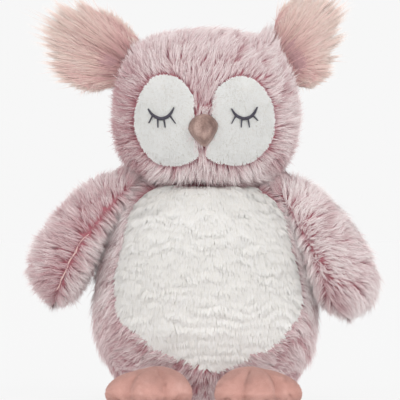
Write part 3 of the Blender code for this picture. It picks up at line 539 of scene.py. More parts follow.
FOOT_LEFT = dict(at=(-33.4, -74.0), turn=9.0,
                 lobes=[(-3, 0, 18.8), (2, -9.1, 14.9), (2, 9.1, 14.9), (14.9, 16.8, 10.6), (19.8, 0, 11.7),
                        (14.4, -16.1, 10.4)])
FOOT_RIGHT = dict(at=(30.0, -74.0), turn=-8.0,
                  lobes=[(-3, 0, 18.6), (2, -9.0, 14.7), (2, 9.0, 14.7), (14.3, -17.5, 10.6), (19.5, 0, 11.2),
                         (14.7, 16.2, 10.5)])
FOOT_H = 21.0


def profile(table, off=0.0, extra=()):
    """z, a and b along a profile as lines over its length, 0 to 1, moved out by off mm."""
    p = np.array(list(table) + list(extra), float)
    if off:
        r = (p[:, 1] + p[:, 2]) / 2
        t = np.gradient(np.stack([r, p[:, 0]], 1), axis=0)
        t /= np.linalg.norm(t, axis=1)[:, None]
        p = p + off * np.stack([-t[:, 0], t[:, 1], t[:, 1]], 1)
        p[:, 1:] = np.maximum(p[:, 1:], 0)
    r = (p[:, 1] + p[:, 2]) / 2
    s = np.concatenate([[0], np.cumsum(np.hypot(np.diff(r), np.diff(p[:, 0])))])
    s /= s[-1]
    return Line(s, p[:, 0]), Line(s, p[:, 1]), Line(s, p[:, 2])


def turned(lines, n):
    """A surface(u, v): u runs up the profile, v once round from the back over -X, the front and +X."""
    fz, fa, fb = lines

    def surface(u, v):
        phi = (np.asarray(v) * 2 - 1) * pi
        s, c = np.sin(phi), np.cos(phi)
        a, b, z = fa(u), fb(u), fz(u)
        return np.stack([a * np.sign(s) * np.abs(s) ** (2 / n), -b * np.sign(c) * np.abs(c) ** (2 / n), z + 0 * phi], -1)

    return surface


seam_left, seam_right = Line(*zip(*SEAM_LEFT)), Line(*zip(*SEAM_RIGHT))
head_a, head_b = Line([p[0] for p in HEAD], [p[1] for p in HEAD]), Line([p[0] for p in HEAD], [p[2] for p in HEAD])
body_a = Line([p[0] for p in BODY], [p[1] for p in BODY])


def inside(outline, x, z):
    """Which points lie inside an outline."""
    poly = np.array(outline, float)
    x0, z0 = poly[:, 0], poly[:, 1]
    x1, z1 = np.roll(x0, -1), np.roll(z0, -1)
    hit = np.zeros(np.shape(x), bool)
    for a, b, c, d in zip(x0, z0, x1, z1):
        if b == d:
            continue
        cross = ((b > z) != (d > z)) & (x < (c - a) * (z - b) / (d - b) + a)
        hit ^= cross
    return hit


def round_outline(points, count):
    """A closed outline through the points, smoothed, as count points evenly spaced along it."""
    p = np.array(points, float)
    out = []
    for i in range(len(p)):
        p0, p1, p2, p3 = p[i - 1], p[i], p[(i + 1) % len(p)], p[(i + 2) % len(p)]
        for u in np.linspace(0, 1, 12, endpoint=False):
            out.append(0.5 * (2 * p1 + (p2 - p0) * u + (2 * p0 - 5 * p1 + 4 * p2 - p3) * u**2
                              + (3 * p1 - p0 - 3 * p2 + p3) * u**3))
    out = np.array(out + [out[0]])
    s = np.concatenate([[0], np.cumsum(np.linalg.norm(np.diff(out, axis=0), axis=1))])
    want = np.linspace(0, s[-1], count, endpoint=False)
    return np.stack([np.interp(want, s, out[:, 0]), np.interp(want, s, out[:, 1])], 1)


def outset(outline, by):
    """An outline moved outwards by a distance."""
    p = np.array(outline, float)
    t = unit(np.roll(p, -1, 0) - np.roll(p, 1, 0))
    n = np.stack([t[:, 1], -t[:, 0]], 1)
    area = 0.5 * np.sum(p[:, 0] * np.roll(p[:, 1], -1) - np.roll(p[:, 0], -1) * p[:, 1])
    return p + n * (by if area > 0 else -by)


def head_front(x, z):
    a, b = head_a(z), head_b(z)
    u = np.minimum(np.abs(x) / np.maximum(a, 1e-6), 0.999)
    return -b * (1 - u**HEAD_N) ** (1 / HEAD_N)


def face_normal(x, z, e=0.4):
    fx = (head_front(x + e, z) - head_front(x - e, z)) / (2 * e)
    fz = (head_front(x, z + e) - head_front(x, z - e)) / (2 * e)
    return unit(np.stack([fx, -np.ones_like(fx), fz], -1))


def on_face(x, z, off):
    x, z = np.asarray(x, float), np.asarray(z, float)
    return np.stack([x, head_front(x, z), z], -1) + face_normal(x, z) * np.asarray(off, float)[..., None]


def seen_at(x, z, off):
    """The places on the skin under points that stand off mm from it and show at x, z from the front."""
    x, z = np.asarray(x, float), np.asarray(z, float)
    u, w = x, z
    for _ in range(12):
        p = on_face(u, w, np.zeros_like(u) + off)
        u, w = u + x - p[..., 0], w + z - p[..., 2]
    return u, w


# ------------------------------------------------------------------ materials
ROSE = pile_material(
    "rose_pile",
    [(0.0, "#8E4A52"), (0.25, "#9F6168"), (0.5, "#AE797F"), (0.75, "#BE9498"), (1.0, "#CAA7A9")],
    [(0.0, "#BC888F"), (0.25, "#DABCBF"), (0.5, "#EADCDC"), (0.75, "#F0E8E7"), (1.0, "#F3EEED")],
    [(0.0, "#8C545C"), (0.25, "#9C6B72"), (0.5, "#AC8388"), (0.75, "#BC9C9F"), (1.0, "#C9AFAF")],
    [(0.0, "#B98E93"), (0.25, "#D6BFC0"), (0.5, "#E7DCDA"), (0.75, "#EEE8E5"), (1.0, "#F2EEEB")])
WHITE = pile_material(
    "white_pile",
    [(0.0, "#D2CEC8"), (0.4, "#D6D3CE"), (1.0, "#DBD9D5")],
    [(0.0, "#E5E2DD"), (0.4, "#E9E7E3"), (1.0, "#EEECE9")],
    [(0.0, "#D3D0CB"), (0.4, "#D7D5D2"), (1.0, "#DDDBD9")],
    [(0.0, "#E7E4E1"), (0.4, "#EBEAE8"), (1.0, "#F0EFEE")], rough=0.85, sheen=0.05, tint="#FFFFFF")
EAR = pile_material(
    "ear_silk",
    [(0.0, "#986B6E"), (0.2, "#B58888"), (0.5, "#C69B99"), (0.75, "#D5B5AE"), (1.0, "#E9DDD5")],
    [(0.0, "#BA8888"), (0.2, "#CFA3A1"), (0.5, "#DCB8B3"), (0.75, "#E9D1C9"), (1.0, "#F3EBE5")],
    [(0.0, "#96706F"), (0.2, "#B08B88"), (0.5, "#C3A098"), (0.75, "#D5BBB0"), (1.0, "#E9E0D8")],
    [(0.0, "#B58D89"), (0.2, "#CAA7A1"), (0.5, "#D9BFB6"), (0.75, "#E8D6CB"), (1.0, "#F4EDE7")], rough=0.6, sheen=0.1)
VELBOA = pile_material(
    "velboa_pile",
    [(0.0, "#D4D3CE"), (0.5, "#D8D7D4"), (1.0, "#DCDCD9")],
    [(0.0, "#D9D8D5"), (0.5, "#DDDDDA"), (1.0, "#E1E1DF")],
    [(0.0, "#D5D5D1"), (0.5, "#D9D9D7"), (1.0, "#DDDDDC")],
    [(0.0, "#DBDCDA"), (0.5, "#DFDFDE"), (1.0, "#E3E4E3")], rough=0.85, sheen=0.05, tint="#F6F6F6")
VELOUR = pile_material(
    "velour_pile",
    [(0.0, "#B6857B"), (0.5, "#C1948A"), (1.0, "#CB9F96")],
    [(0.0, "#C2948A"), (0.5, "#CFA39A"), (1.0, "#D8B1A9")],
    [(0.0, "#B98A80"), (0.5, "#C4998F"), (1.0, "#CDA59C")],
    [(0.0, "#C59A90"), (0.5, "#D1A9A0"), (1.0, "#DAB7AF")], rough=0.85, sheen=0.15, tint="#FFE6DF")
ROSE_CLOTH = backing_material("rose_backing", "#9C5A63", "#B4747C")
WHITE_CLOTH = backing_material("white_backing", "#D2CFC9", "#DBD8D3")
EAR_CLOTH = backing_material("ear_backing", "#A27E80", "#B38E8F")
WELT = backing_material("welt_cloth", "#D0ABA6", "#DDBDB8")

# ------------------------------------------------------------------ head
FUR_BASE = -1.0                       # the backing cloth lies this far inside the model's outer skin
CHIN = HEAD
head_skin = turned(profile(CHIN, FUR_BASE), HEAD_N)
head_inner = turned(profile(CHIN, FUR_BASE - 1.2), HEAD_N)


def half_shell(name, skin, inner, v0, v1, rows, cols, material, body, replaces, dent=None):
    u, v = np.meshgrid(np.linspace(0.0, 1.0, rows), np.linspace(v0, v1, cols), indexing="ij")
    a, b = skin(u, v), inner(u, v)
    if dent is not None:
        shift = dent(a)
        a, b = a + shift, b + shift
    verts, faces = shell(a, b)
    return put(name, verts, faces, material, body, replaces=replaces)


half_shell("head_front_cloth", head_skin, head_inner, 0.2502, 0.7498, 60, 72, ROSE_CLOTH, "head",
           ("head_front_panel",))
half_shell("head_back_cloth", head_skin, head_inner, 0.7502, 1.2498, 60, 72, ROSE_CLOTH, "head",
           ("head_back_panel",))

disc_left, disc_right = [np.stack(seen_at(*round_outline(o, 120).T, 2.7), 1) for o in (DISC_LEFT, DISC_RIGHT)]
disc_edge_left, disc_edge_right = outset(disc_left, 0.2), outset(disc_right, 0.2)
FACE = np.array([-2.6, -52.0, 176.0])


def off_discs(p):
    front = p[..., 1] < 0
    return ~(front & (inside(disc_edge_left, p[..., 0], p[..., 2]) | inside(disc_edge_right, p[..., 0], p[..., 2])))


def head_fur(name, front, seed, spacing=2.0, per=16):
    rng = np.random.default_rng(seed)

    def region(u, v, p):
        side = (v > 0.25) & (v < 0.75)
        return (side if front else ~side) & off_discs(p) & (u > 0.0)

    u, v = scatter(head_skin, region, spacing, seed)
    p, n, _, _ = normals_of(head_skin, u, v)
    x, y, z = p.T
    down = np.array([0.0, 0.0, -1.0])
    back = np.clip((y + 5) / 30, 0, 1)[:, None]
    # over the face the nap runs up from the beak and leans to the right; at the sides it runs outward
    away = p - FACE
    brow = (np.clip((z - 178) / 14, 0, 1) * np.clip(1 - np.abs(x + 1) / 46, 0, 1))[:, None]
    fore = np.stack([0.42 + x * 0.006, 0 * x, 1.0 + 0 * x], 1)
    d = unit(away) * (1 - brow) + unit(fore) * brow * 1.3
    d = unit(d) * (1 - back) + down * back * 1.2
    low = np.clip((163 - z) / 12, 0, 1)[:, None]
    d = d + low * (down * 0.9 + np.array([0.3, 0, 0]) * np.clip(x[:, None] / 30, -0.4, 1))
    d = along_skin(unit(d) + 0.26 * noise3(p, 18, seed) + 0.20 * noise3(p, 6, seed + 5), n)
    # where an ear is sewn on, the fur climbs its root
    corner = np.exp(-((np.abs(x) - 41) / 8) ** 2 - ((z - 230) / 7) ** 2 - (y / 15) ** 2)[:, None]
    d = unit(d + corner * 3.0 * np.stack([np.sign(x) * 0.35, 0 * x, 1 + 0 * x], 1))
    big, small = noise(p, 13, seed + 1), noise(p, 5, seed + 2)
    top = np.clip((z - 205) / 22, 0, 1)
    length = 9.2 + 1.3 * noise(p, 9, seed + 3) + (6.5 * (x > 0) - 3.5) * corner[:, 0]
    part, push = crushed(p, n, 13, seed + 40)
    wander = noise3(p, 7.5, seed + 9) * 1.9 + noise3(p, 3.2, seed + 12) * 1.0
    wander = wander - (wander * n).sum(1, keepdims=True) * n * 0.7 + push * 2.6
    rise = 0.38 + 0.08 * small + 0.05 * big + 0.25 * corner[:, 0]
    tone = 0.76 + 0.07 * big + 0.10 * small + 0.08 * top - 0.44 * part
    # painted light and shade in the face's tone: the left cheek is a deeper rose, partly its own dark streaks and
    # partly painted shade on the side away from the key light; the chin is paler, painted light against the shade under
    # the face; the bottom rim and the lower corners by the neck are darker, painted crease shade; the right side is a
    # little lighter, painted light
    cheek = np.exp(-((x + 56) / 16) ** 2 - ((z - 185) / 27) ** 2) * (y < 8)
    between = np.exp(-((x + 1) / 9) ** 2 - ((z - 192) / 9) ** 2) * (y < 0)
    corners = np.clip((164 - z) / 10, 0, 1) * np.clip((np.abs(x) - 32) / 8, 0, 1)
    chin = np.clip((160 - z) / 8, 0, 1) * (y < 0) * (1 - corners)
    tone = tone - 0.90 * cheek * (0.90 + 0.9 * noise(p, 3.2, seed + 21)) - 0.16 * between + 0.20 * chin - 0.34 * np.maximum(np.clip((150 - z) / 5, 0, 1), corners) + 0.05 * np.clip(x / 55, -1, 1)
    # the fur of the chin hangs over the neck, and what faces down or up at the rims is seen from the front
    length = length + 3.5 * np.clip((156 - z) / 8, 0, 1) - 3.5 * np.exp(-((x + 36) / 7) ** 2 - ((z - 232) / 6) ** 2)
    wide = np.exp(-((z - 182) / 26) ** 2) * np.clip((np.abs(x) - 42) / 10, 0, 1) * (np.abs(y) < 30)
    length, rise = length + 1.0 * wide, rise + 0.10 * wide
    length = length + 0.9 * np.exp(-((x + 12) / 22) ** 2) * np.clip((z - 226) / 6, 0, 1)
    rim = np.clip((153 - z) / 6, 0, 1) * 1.3 + np.clip((z - 224) / 8, 0, 1) * 0.8 + 1.2 * corner[:, 0] * (x > 0)
    face = to_front(p, unit(n + rim[:, None] * np.stack([0.5 * x / 50, np.where(y < 0, -1.0, 0.8), 0 * x], 1)))
    return grow(p, n, d, per, 1.6, length, rng, rise=rise, reach=0.74, pull=0.8, stray=0.10, wander=wander, tone=tone, face=face,
                second=0.28 + 0.2 * noise(p, 20, seed + 4), allow=off_discs, vary=0.2, tone_vary=0.12 + 0.32 * cheek, plain=0.42, shade=0.85)


hair("head_front_fur", [head_fur("front", True, 101)], ROSE, "head")
hair("head_back_fur", [head_fur("back", False, 102)], ROSE, "head")


# ------------------------------------------------------------------ eye discs
def disc(side, outline, seed):
    line = outline
    c = np.array([-27.0 if side == "left" else 23.5, 180.0])
    rings = 16
    rng = np.random.default_rng(seed)
    verts, faces = [], []
    n = len(line)
    tops = [on_face(np.array([c[0]]), np.array([c[1]]), np.array([1.5]))]
    lows = [on_face(np.array([c[0]]), np.array([c[1]]), np.array([0.3]))]
    for k in range(1, rings + 1):
        f = k / rings
        x, z = c[0] + (line[:, 0] - c[0]) * f, c[1] + (line[:, 1] - c[1]) * f
        q = np.stack([x, z * 0, z], 1)
        dimple = 0.08 * noise(q, 9, seed)
        edge = 1 - np.clip((f - 0.93) / 0.07, 0, 1) ** 2 * 0.55
        tops.append(on_face(x, z, (1.5 + dimple) * edge))
        lows.append(on_face(x, z, 0.3 + 0 * x))
    verts = np.concatenate(tops + lows)
    half = 1 + n * rings
    for i in range(n):
        j = (i + 1) % n
        faces.append((0, 1 + i, 1 + j))
        faces.append((half, half + 1 + j, half + 1 + i))
        for k in range(rings - 1):
            a, b = 1 + k * n, 1 + (k + 1) * n
            faces.append((a + i, b + i, b + j, a + j))
            faces.append((half + a + j, half + b + j, half + b + i, half + a + i))
        a = 1 + (rings - 1) * n
        faces.append((a + i, half + a + i, half + a + j, a + j))
    put("eye_disc_%s_cloth" % side, verts, faces, WHITE_CLOTH, "head",
        replaces=("eye_disc_" + side,))

    lo, hi = line.min(0), line.max(0)
    m = 15000
    x, z = rng.uniform(lo[0], hi[0], m), rng.uniform(lo[1], hi[1], m)
    ok = inside(outset(line, -0.15), x, z)
    x, z = x[ok], z[ok]
    p, nn = on_face(x, z, 1.75 + 0 * x), face_normal(x, z)
    q = np.stack([x, 0 * x, z], 1)
    d = np.stack([x - c[0], 0 * x, (z - c[1]) * 0.7 - 14], 1)
    d = along_skin(unit(d) + 0.45 * noise3(q, 7, seed + 3) + 0.30 * noise3(q, 2.6, seed + 4), nn)
    tone = 0.48 + 0.03 * noise(q, 8, seed + 5) + 0.03 * noise(q, 3, seed + 6)
    g = grow(p, nn, d, 1, 0.05, 1.7 + 0.2 * noise(q, 4, seed + 7), rng, rise=0.34, reach=0.75, pull=0.0, stray=0.08,
             width=0.66, tone=tone, second=0.3, steps=(0.0, 0.5, 1.0), spread=9.0, shade=1.0, fan=0.0, tone_vary=0.04)
    hair("eye_disc_%s_pile" % side, [g], VELBOA, "head")


disc("left", disc_left, 201)
disc("right", disc_right, 202)

# ------------------------------------------------------------------ body
body_skin = turned(profile(BODY, FUR_BASE), 2.0)
body_inner = turned(profile(BODY, FUR_BASE - 1.2), 2.0)


def belly_side(p):
    """Below zero inside the belly panel, in mm: how far a point lies from the belly's seam."""
    z = p[..., 2]
    out = np.maximum(seam_left(z) - p[..., 0], p[..., 0] - seam_right(z))
    out = np.where(p[..., 1] > 0, 50.0, out)
    return np.maximum(out, BELLY_FOOT - z)


def panel_rows(skin, inner, which, rows=70, cols=56):
    """Grids of one panel, from the seam angles at each level."""
    us = np.linspace(0, 1, rows)
    z = skin(us, us * 0 + 0.5)[:, 2]
    a = body_a(z)
    left = np.arcsin(np.clip(np.where(z < BELLY_FOOT, 2.6, seam_left(z)) / a, -0.93, 0.93))
    right = np.arcsin(np.clip(np.where(z < BELLY_FOOT, 2.6, seam_right(z)) / a, -0.93, 0.93))
    if which == "belly":
        keep = z >= BELLY_FOOT
        us, left, right = us[keep], left[keep], right[keep]
        start, end = left, right
    elif which == "left":
        start, end = np.full(len(us), -pi + 0.004), left - 0.008
    else:
        start, end = right + 0.008, np.full(len(us), pi - 0.004)
    f = np.linspace(0, 1, cols)
    phi = start[:, None] + (end - start)[:, None] * f[None]
    u = np.repeat(us[:, None], cols, 1)
    v = phi / (2 * pi) + 0.5
    return skin(u, v), inner(u, v)


for which, material, node in (("left", ROSE_CLOTH, "body_left_panel"), ("right", ROSE_CLOTH, "body_right_panel"),
                              ("belly", WHITE_CLOTH, "belly_panel")):
    a, b = panel_rows(body_skin, body_inner, which)
    verts, faces = shell(a, b)
    put({"left": "body_left_cloth", "right": "body_right_cloth", "belly": "belly_cloth"}[which], verts, faces, material,
        "torso", replaces=(node,))


def body_fur(side, seed, spacing=2.05, per=16):
    rng = np.random.default_rng(seed)
    sgn = -1 if side == "left" else 1

    def region(u, v, p):
        half = (v < 0.5) if sgn < 0 else (v > 0.5)
        low = (p[:, 2] < BELLY_FOOT)
        half = np.where(low & (p[:, 1] < 0), (p[:, 0] < 2.6) if sgn < 0 else (p[:, 0] > 2.6), half)
        mid = (p[:, 1] < 0) & (np.abs(p[:, 0]) < 20) & ~low
        half = np.where(mid, (p[:, 0] < 2.6) if sgn < 0 else (p[:, 0] > 2.6), half)
        return half & (belly_side(p) > 0.4)

    u, v = scatter(body_skin, region, spacing, seed)
    p, n, _, _ = normals_of(body_skin, u, v)
    x, y, z = p.T
    front = np.clip(-y / 40, 0, 1)[:, None]
    outward = np.stack([x - 1.0, 0 * x, 0 * x], 1)
    outward = unit(outward) * np.clip(np.abs(x[:, None] - 1) / 22, 0, 1)
    d = outward * front * 1.0 + np.array([0, 0, -1.0]) * (0.75 - 0.35 * front)
    d = along_skin(unit(d) + 0.40 * noise3(p, 17, seed) + 0.28 * noise3(p, 6, seed + 5), n)
    big, small = noise(p, 14, seed + 1), noise(p, 5, seed + 2)
    neck = np.clip((z - 122) / 12, 0, 1)
    foot = np.clip((14 - z) / 12, 0, 1)
    length = (9.4 + 1.3 * noise(p, 9, seed + 3)) * (1 - 0.45 * foot) + 3.5 * neck * (np.abs(x) > 22)
    length = length + 1.8 * np.exp(-((z - (58 if sgn < 0 else 38)) / 16) ** 2) * np.clip((np.abs(x) - 45) / 15, 0, 1)
    length = length * (1 - (0.45 if sgn < 0 else 0.30) * np.clip((36 - z) / 12, 0, 1) * (np.abs(x) > 40))
    part, push = crushed(p, n, 12, seed + 40)
    wander = noise3(p, 7.0, seed + 9) * 2.2 + noise3(p, 3.2, seed + 12) * 1.0
    wander = wander - (wander * n).sum(1, keepdims=True) * n * 0.7 + push * 2.8
    rise = 0.38 + 0.08 * small + 0.05 * big + 0.25 * neck
    # painted light and shade in the body's tone: lighter beside the belly seam, painted light against the shade of the
    # wing; darker at the sides under the wings and towards the neck, painted shade; the right side a little lighter,
    # painted light
    beside = np.exp(-(belly_side(p) / 16) ** 2) * np.clip((z - 55) / 15, 0, 1)
    tone = 0.73 + 0.10 * big + 0.12 * small - 0.14 * np.clip((60 - z) / 50, 0, 1) + 0.05 * sgn + 0.26 * beside
    tone = tone - 0.16 * np.clip((np.abs(x) - 52) / 10, 0, 1) * np.clip((z - 70) / 20, 0, 1) * (np.abs(y) < 34)
    tone = tone - (0.46 - 0.2 * beside + 0.3 * np.clip((62 - z) / 30, 0, 1)) * part - 0.42 * neck
    face = to_front(p, n * (1 - 0.85 * neck)[:, None], 1.1, 8 + 6 * neck)
    lean = np.stack([0 * x, -1.5 * neck * np.tanh((24 - y) / 10), 0 * x], 1)
    return grow(p, n, d, per, 1.65, length, rng, rise=rise, reach=0.74, pull=0.8, stray=0.10, wander=wander, tone=tone, face=face, lean=lean,
                second=0.32 + 0.2 * noise(p, 20, seed + 4), vary=0.2, tone_vary=0.12, plain=0.5, shade=0.85,
                allow=lambda q: (belly_side(q) > -0.2) & (q[..., 2] > 0.2))


hair("body_left_fur", [body_fur("left", 301)], ROSE, "torso")
hair("body_right_fur", [body_fur("right", 302)], ROSE, "torso")


def ripples(p):
    """Where a point lies between the ripples of the belly: 0 just under a crest, 1 at the next crest; and how strong they are."""
    q = p * np.array([0.48, 1.0, 1.0])
    warp = 5.2 * noise(q, 11.0, 401) + 2.3 * noise(q, 4.6, 402)
    return ((p[..., 2] + warp) / 6.4) % 1.0, np.clip(0.55 + 0.85 * noise(q, 5.5, 403), 0.03, 1.15)


def belly_fur(seed, spacing=1.25, per=9):
    rng = np.random.default_rng(seed)

    def region(u, v, p):
        return belly_side(p) < -0.2

    u, v = scatter(body_skin, region, spacing, seed, grid=(200, 400))
    p, n, _, _ = normals_of(body_skin, u, v)
    phase, strong = ripples(p)
    d = np.array([0, 0, -1.0]) + 0.28 * noise3(p, 10, seed + 3) + 0.14 * noise3(p, 3.6, seed + 4)
    edge = np.clip((belly_side(p) + 6) / 6, 0, 1)[:, None] * np.clip((136 - p[:, 2:]) / 14, 0, 1)
    d = d + edge * np.stack([np.sign(p[:, 0]) * 1.1, 0 * p[:, 0], 0 * p[:, 0]], 1)
    d = along_skin(d, n)
    crest = np.sin(pi * phase) ** 2 * strong
    p = p + n * ((0.75 + 0.25 * np.clip((p[:, 2] - 50) / 30, 0, 1)) * crest)[:, None]
    top = np.clip((p[:, 2] - 118) / 14, 0, 1)[:, None]
    around = unit(p * [1.0, 1.0, 0.0])
    face = unit(n + 0.25 * np.array([0.0, -1.0, 0.0]) + 1.4 * top * around)
    rise = 0.12 + 0.03 * noise(p, 3.5, seed + 6) + 0.14 * edge[:, 0]
    wander = noise3(p, 3.0, seed + 5) * 0.3 - top * [0, 0, 1.9]
    # painted shade and light in the belly's tone: darker at the top under the chin, painted shade; lighter on the
    # ripples' crests and darker in their hollows, painted shade; darker round the middle height; lighter low on the
    # right and darker low on the left, painted light
    tone = 0.38 - 0.62 * top[:, 0] + 0.16 * (crest - 0.35) + 0.08 * noise(p, 12, seed + 7) - 0.40 * np.exp(-((p[:, 2] - 85) / 26) ** 2)
    tone = tone + 0.22 * np.clip(p[:, 0] / 50, -1, 1) * np.clip((100 - p[:, 2]) / 60, 0, 1)
    # each ripple is shaded as a soft round fold
    lean = -np.cos(pi * phase) * np.sin(pi * phase) * strong * 0.62
    return grow(p, n, d, per, 1.1, 5.4 + 0.5 * noise(p, 6, seed + 8) + 2.0 * edge[:, 0], rng, rise=rise, reach=0.80,
                start=(0.18, 0.28), pull=0.10, stray=0.05, wander=wander, tone=tone, second=0.4, width=0.92, vary=0.16, face=face,
                tone_vary=0.05, allow=lambda q: belly_side(q) < 0.3, spread=14.0, shade=0.98, fan=0.05,
                lean=np.array([0, 0, 1.0]) * lean[:, None] + 0.35 * top * around)


hair("belly_pile", [belly_fur(401)], WHITE, "torso")


# ------------------------------------------------------------------ wings
class Wing:
    def __init__(self, w):
        self.sgn = w["side"]
        mid = np.array(w["mid"], float)
        s = np.concatenate([[0], np.cumsum(np.linalg.norm(np.diff(mid, axis=0), axis=1))])
        self.length = s[-1]
        u = s / self.length
        self.fx, self.fz = Line(u, mid[:, 0]), Line(u, mid[:, 1])
        self.fd, self.fo, self.fi, self.fy = Line(u, w["depth"]), Line(u, w["out"]), Line(u, w["inn"]), Line(u, w["y"])
        self.toe = radians(w["toe"])

    def axes(self, t):
        e = 0.01
        d = np.stack([self.fx(np.minimum(1, t + e)) - self.fx(np.maximum(0, t - e)), 0 * t,
                      self.fz(np.minimum(1, t + e)) - self.fz(np.maximum(0, t - e))], -1)
        d = unit(d)
        out = np.stack([d[..., 2], 0 * t, -d[..., 0]], -1)
        out = out * np.where(out[..., 0] * self.sgn > 0, 1.0, -1.0)[..., None]
        return d, out

    def section(self, t, theta, inset=0.0):
        """theta 0 at the front seam, pi at the back seam; the outward half lies between them."""
        t, theta = np.asarray(t, float), np.asarray(theta, float)
        tt = t * (1 - inset / self.length)
        c = np.stack([self.fx(tt), self.fy(tt), self.fz(tt)], -1)
        _, out = self.axes(tt)
        fwd = np.array([0.0, -1.0, 0.0])
        fwd_t, out_t = fwd * cos(self.toe) - out * sin(self.toe), out * cos(self.toe) + fwd * sin(self.toe)
        D = np.maximum(0.0, self.fd(t) - inset * (t < 1))
        side = np.where(np.sin(theta) >= 0, self.fo(t), self.fi(t))
        T = np.maximum(0.0, side - inset * (t < 1))
        return c + fwd_t * (D * np.cos(theta))[..., None] + out_t * (T * np.sin(theta))[..., None]

    def surface(self, start):
        """Half of the wing over u (shoulder to tip, spaced for the round end) and v (front seam to back seam)."""
        def s(u, v):
            t = 1 - (1 - np.asarray(u)) ** 1.35
            return self.section(t, start + np.asarray(v) * pi, 1.0)
        return s


def wing(side, w, seed):
    k = Wing(w)
    for name, start in (("outer", 0.0), ("inner", pi)):
        skin = k.surface(start)
        u, v = np.meshgrid(np.linspace(0, 1, 44), np.linspace(0, 1, 30), indexing="ij")
        t = 1 - (1 - u) ** 1.35
        a, b = k.section(t, start + v * pi, 1.0), k.section(t, start + v * pi, 2.2)
        verts, faces = shell(a, b)
        put("wing_%s_%s_cloth" % (side, name), verts, faces, ROSE_CLOTH, "wing_" + side,
            replaces=("wing_%s_%s" % (side, name),))

        sd = seed + (0 if name == "outer" else 50)
        rng = np.random.default_rng(sd)
        uu, vv = scatter(skin, lambda u, v, p: (u < 0.992) & (v >= 0) & (v <= 1), 2.0, sd, grid=(120, 120))
        p, n, du, dv = normals_of(skin, uu, vv)
        middle = k.section(1 - (1 - uu) ** 1.35, start + vv * pi, 6.0)
        n = n * np.sign((n * (p - middle)).sum(-1, keepdims=True))
        if name == "inner":
            vs = vv                                   # runs on from the back seam round to the front
            away = -dv
            near = 1 - vs
        else:
            away = dv
            near = vv
        t = 1 - (1 - uu) ** 1.35
        if name == "outer":
            run = np.interp(t, [0, 0.1, 0.3, 0.5, 0.75, 0.9, 1.0], [-1.1, -0.7, -0.1, 0.05, 0.25, 0.6, 1.4])
        else:
            run = np.interp(t, [0, 0.3, 0.75, 0.9, 1.0], [0.1, 0.3, 0.35, 0.7, 1.4])
        run = run + 0.7 * np.clip((near - 0.45) / 0.3, 0, 1)
        if k.sgn < 0:
            d = unit(away) + unit(du) * run[:, None]
        else:
            d = 0.55 * unit(away) + unit(du) * (run + 0.45)[:, None]
        move = np.clip((t - 0.5) / 0.3, 0, 1) * (-1.8 if k.sgn < 0 else 0.0) if name == "outer" else 0 * t
        if k.sgn > 0 and name == "outer":
            move = -1.4 * np.sin(pi * np.clip((t - 0.15) / 0.7, 0, 1))
        loose = 0.30 if k.sgn < 0 else 0.62
        d = along_skin(unit(d) + loose * noise3(p, 14, sd) + 0.28 * noise3(p, 5.5, sd + 5), n)
        big, small = noise(p, 13, sd + 1), noise(p, 5, sd + 2)
        part, push = crushed(p, n, 12, sd + 40)
        wander = noise3(p, 7.0, sd + 9) * 2.2 + noise3(p, 3.2, sd + 12) * 1.0
        wander = wander - (wander * n).sum(1, keepdims=True) * n * 0.7 + push * 2.6
        wander[:, 0] += move
        wide = 0.26 + 0.20 * np.exp(-((t - 0.38) / 0.22) ** 2) if name == "outer" else 0.13 + 0 * t
        band = np.clip(1.2 - near / (wide * (1 + 0.6 * noise(p, 11, sd + 15))), 0, 1)
        if k.sgn < 0:
            parting = band * (1 + 0.6 * noise(p, 5, sd + 14)).clip(0, 1) * np.clip(t / 0.12, 0, 1)
        else:
            x, _, z = p.T
            parting = np.exp(-((x - 80 + 0.45 * (z - 72)) / 6) ** 2 - ((z - 72) / 13) ** 2)
            parting = parting + 0.8 * np.exp(-((x - 76) / 6) ** 2 - ((z - 116) / 11) ** 2) + 0.6 * np.exp(-((x - 92) / 6) ** 2 - ((z - 80) / 8) ** 2)
            parting = (parting * (p[:, 1] < -8) * (0.9 + 0.9 * noise(p, 5, sd + 16))).clip(0, 1)
        # the right wing is a little lighter, painted light; on the inner side the fur is paler along the front seam,
        # painted light, and darker where it faces the body across the gap, painted shade; on the outer side it is paler
        # near the shoulder
        tone = 0.86 + 0.08 * big + 0.10 * small - np.maximum((0.57 if k.sgn < 0 else 0.66) * parting, (0.57 if k.sgn < 0 else 0.30) * part) + 0.06 * k.sgn + (0.14 - 0.40 * np.clip((near - 0.25) / 0.3, 0, 1) if name == "inner" else 0.12 * np.exp(-((t - 0.16) / 0.16) ** 2))
        rise = 0.46 + 0.08 * small + 0.05 * big - 0.06 * parting
        g = grow(p, n, d, 16, 1.6, 9.6 + 1.3 * noise(p, 9, sd + 3), rng, rise=rise, reach=0.74, pull=0.8, stray=0.10,
                 face=to_front(p - middle.mean(0) * [0, 1, 0], n),
                 wander=wander, tone=tone, second=0.28, vary=0.2, tone_vary=0.12, plain=0.42 if k.sgn < 0 else 0.30, shade=0.85)
        # the shoulder end, where the fur stands up round the neck
        m = 150
        f, th = np.sqrt(rng.random(m)), start + rng.random(m) * pi
        rim = k.section(0 * f, th, 1.0)
        c = np.array([float(k.fx(0)), float(k.fy(0)), float(k.fz(0))])
        p = c + (rim - c) * f[:, None]
        axis, out = k.axes(0 * f)
        nn = unit(unit(rim - c) - 0.5 * axis)
        d = along_skin(-axis + np.array([0, 0, 0.6]) + 0.35 * noise3(p, 6, sd + 61), nn)
        # its fur is a deeper rose than the rest, painted shade where it lies under the head
        cap = grow(p, nn, d, 14, 1.6, 11.0 + 0 * f, rng, rise=0.35, reach=0.80, pull=0.5, stray=0.13,
                   face=to_front(p, nn, 0.7, 14.0), lean=np.stack([0 * f, -1.2 * np.tanh((20 - p[:, 1]) / 10), 0 * f], 1),
                   tone=0.36 + 0.2 * noise(p, 6, sd + 62), second=0.28, vary=0.2, tone_vary=0.12, plain=0.5,
                   shade=0.85)
        hair("wing_%s_%s_fur" % (side, name), [g, cap], ROSE, "wing_" + side)

    if k.sgn > 0:
        return
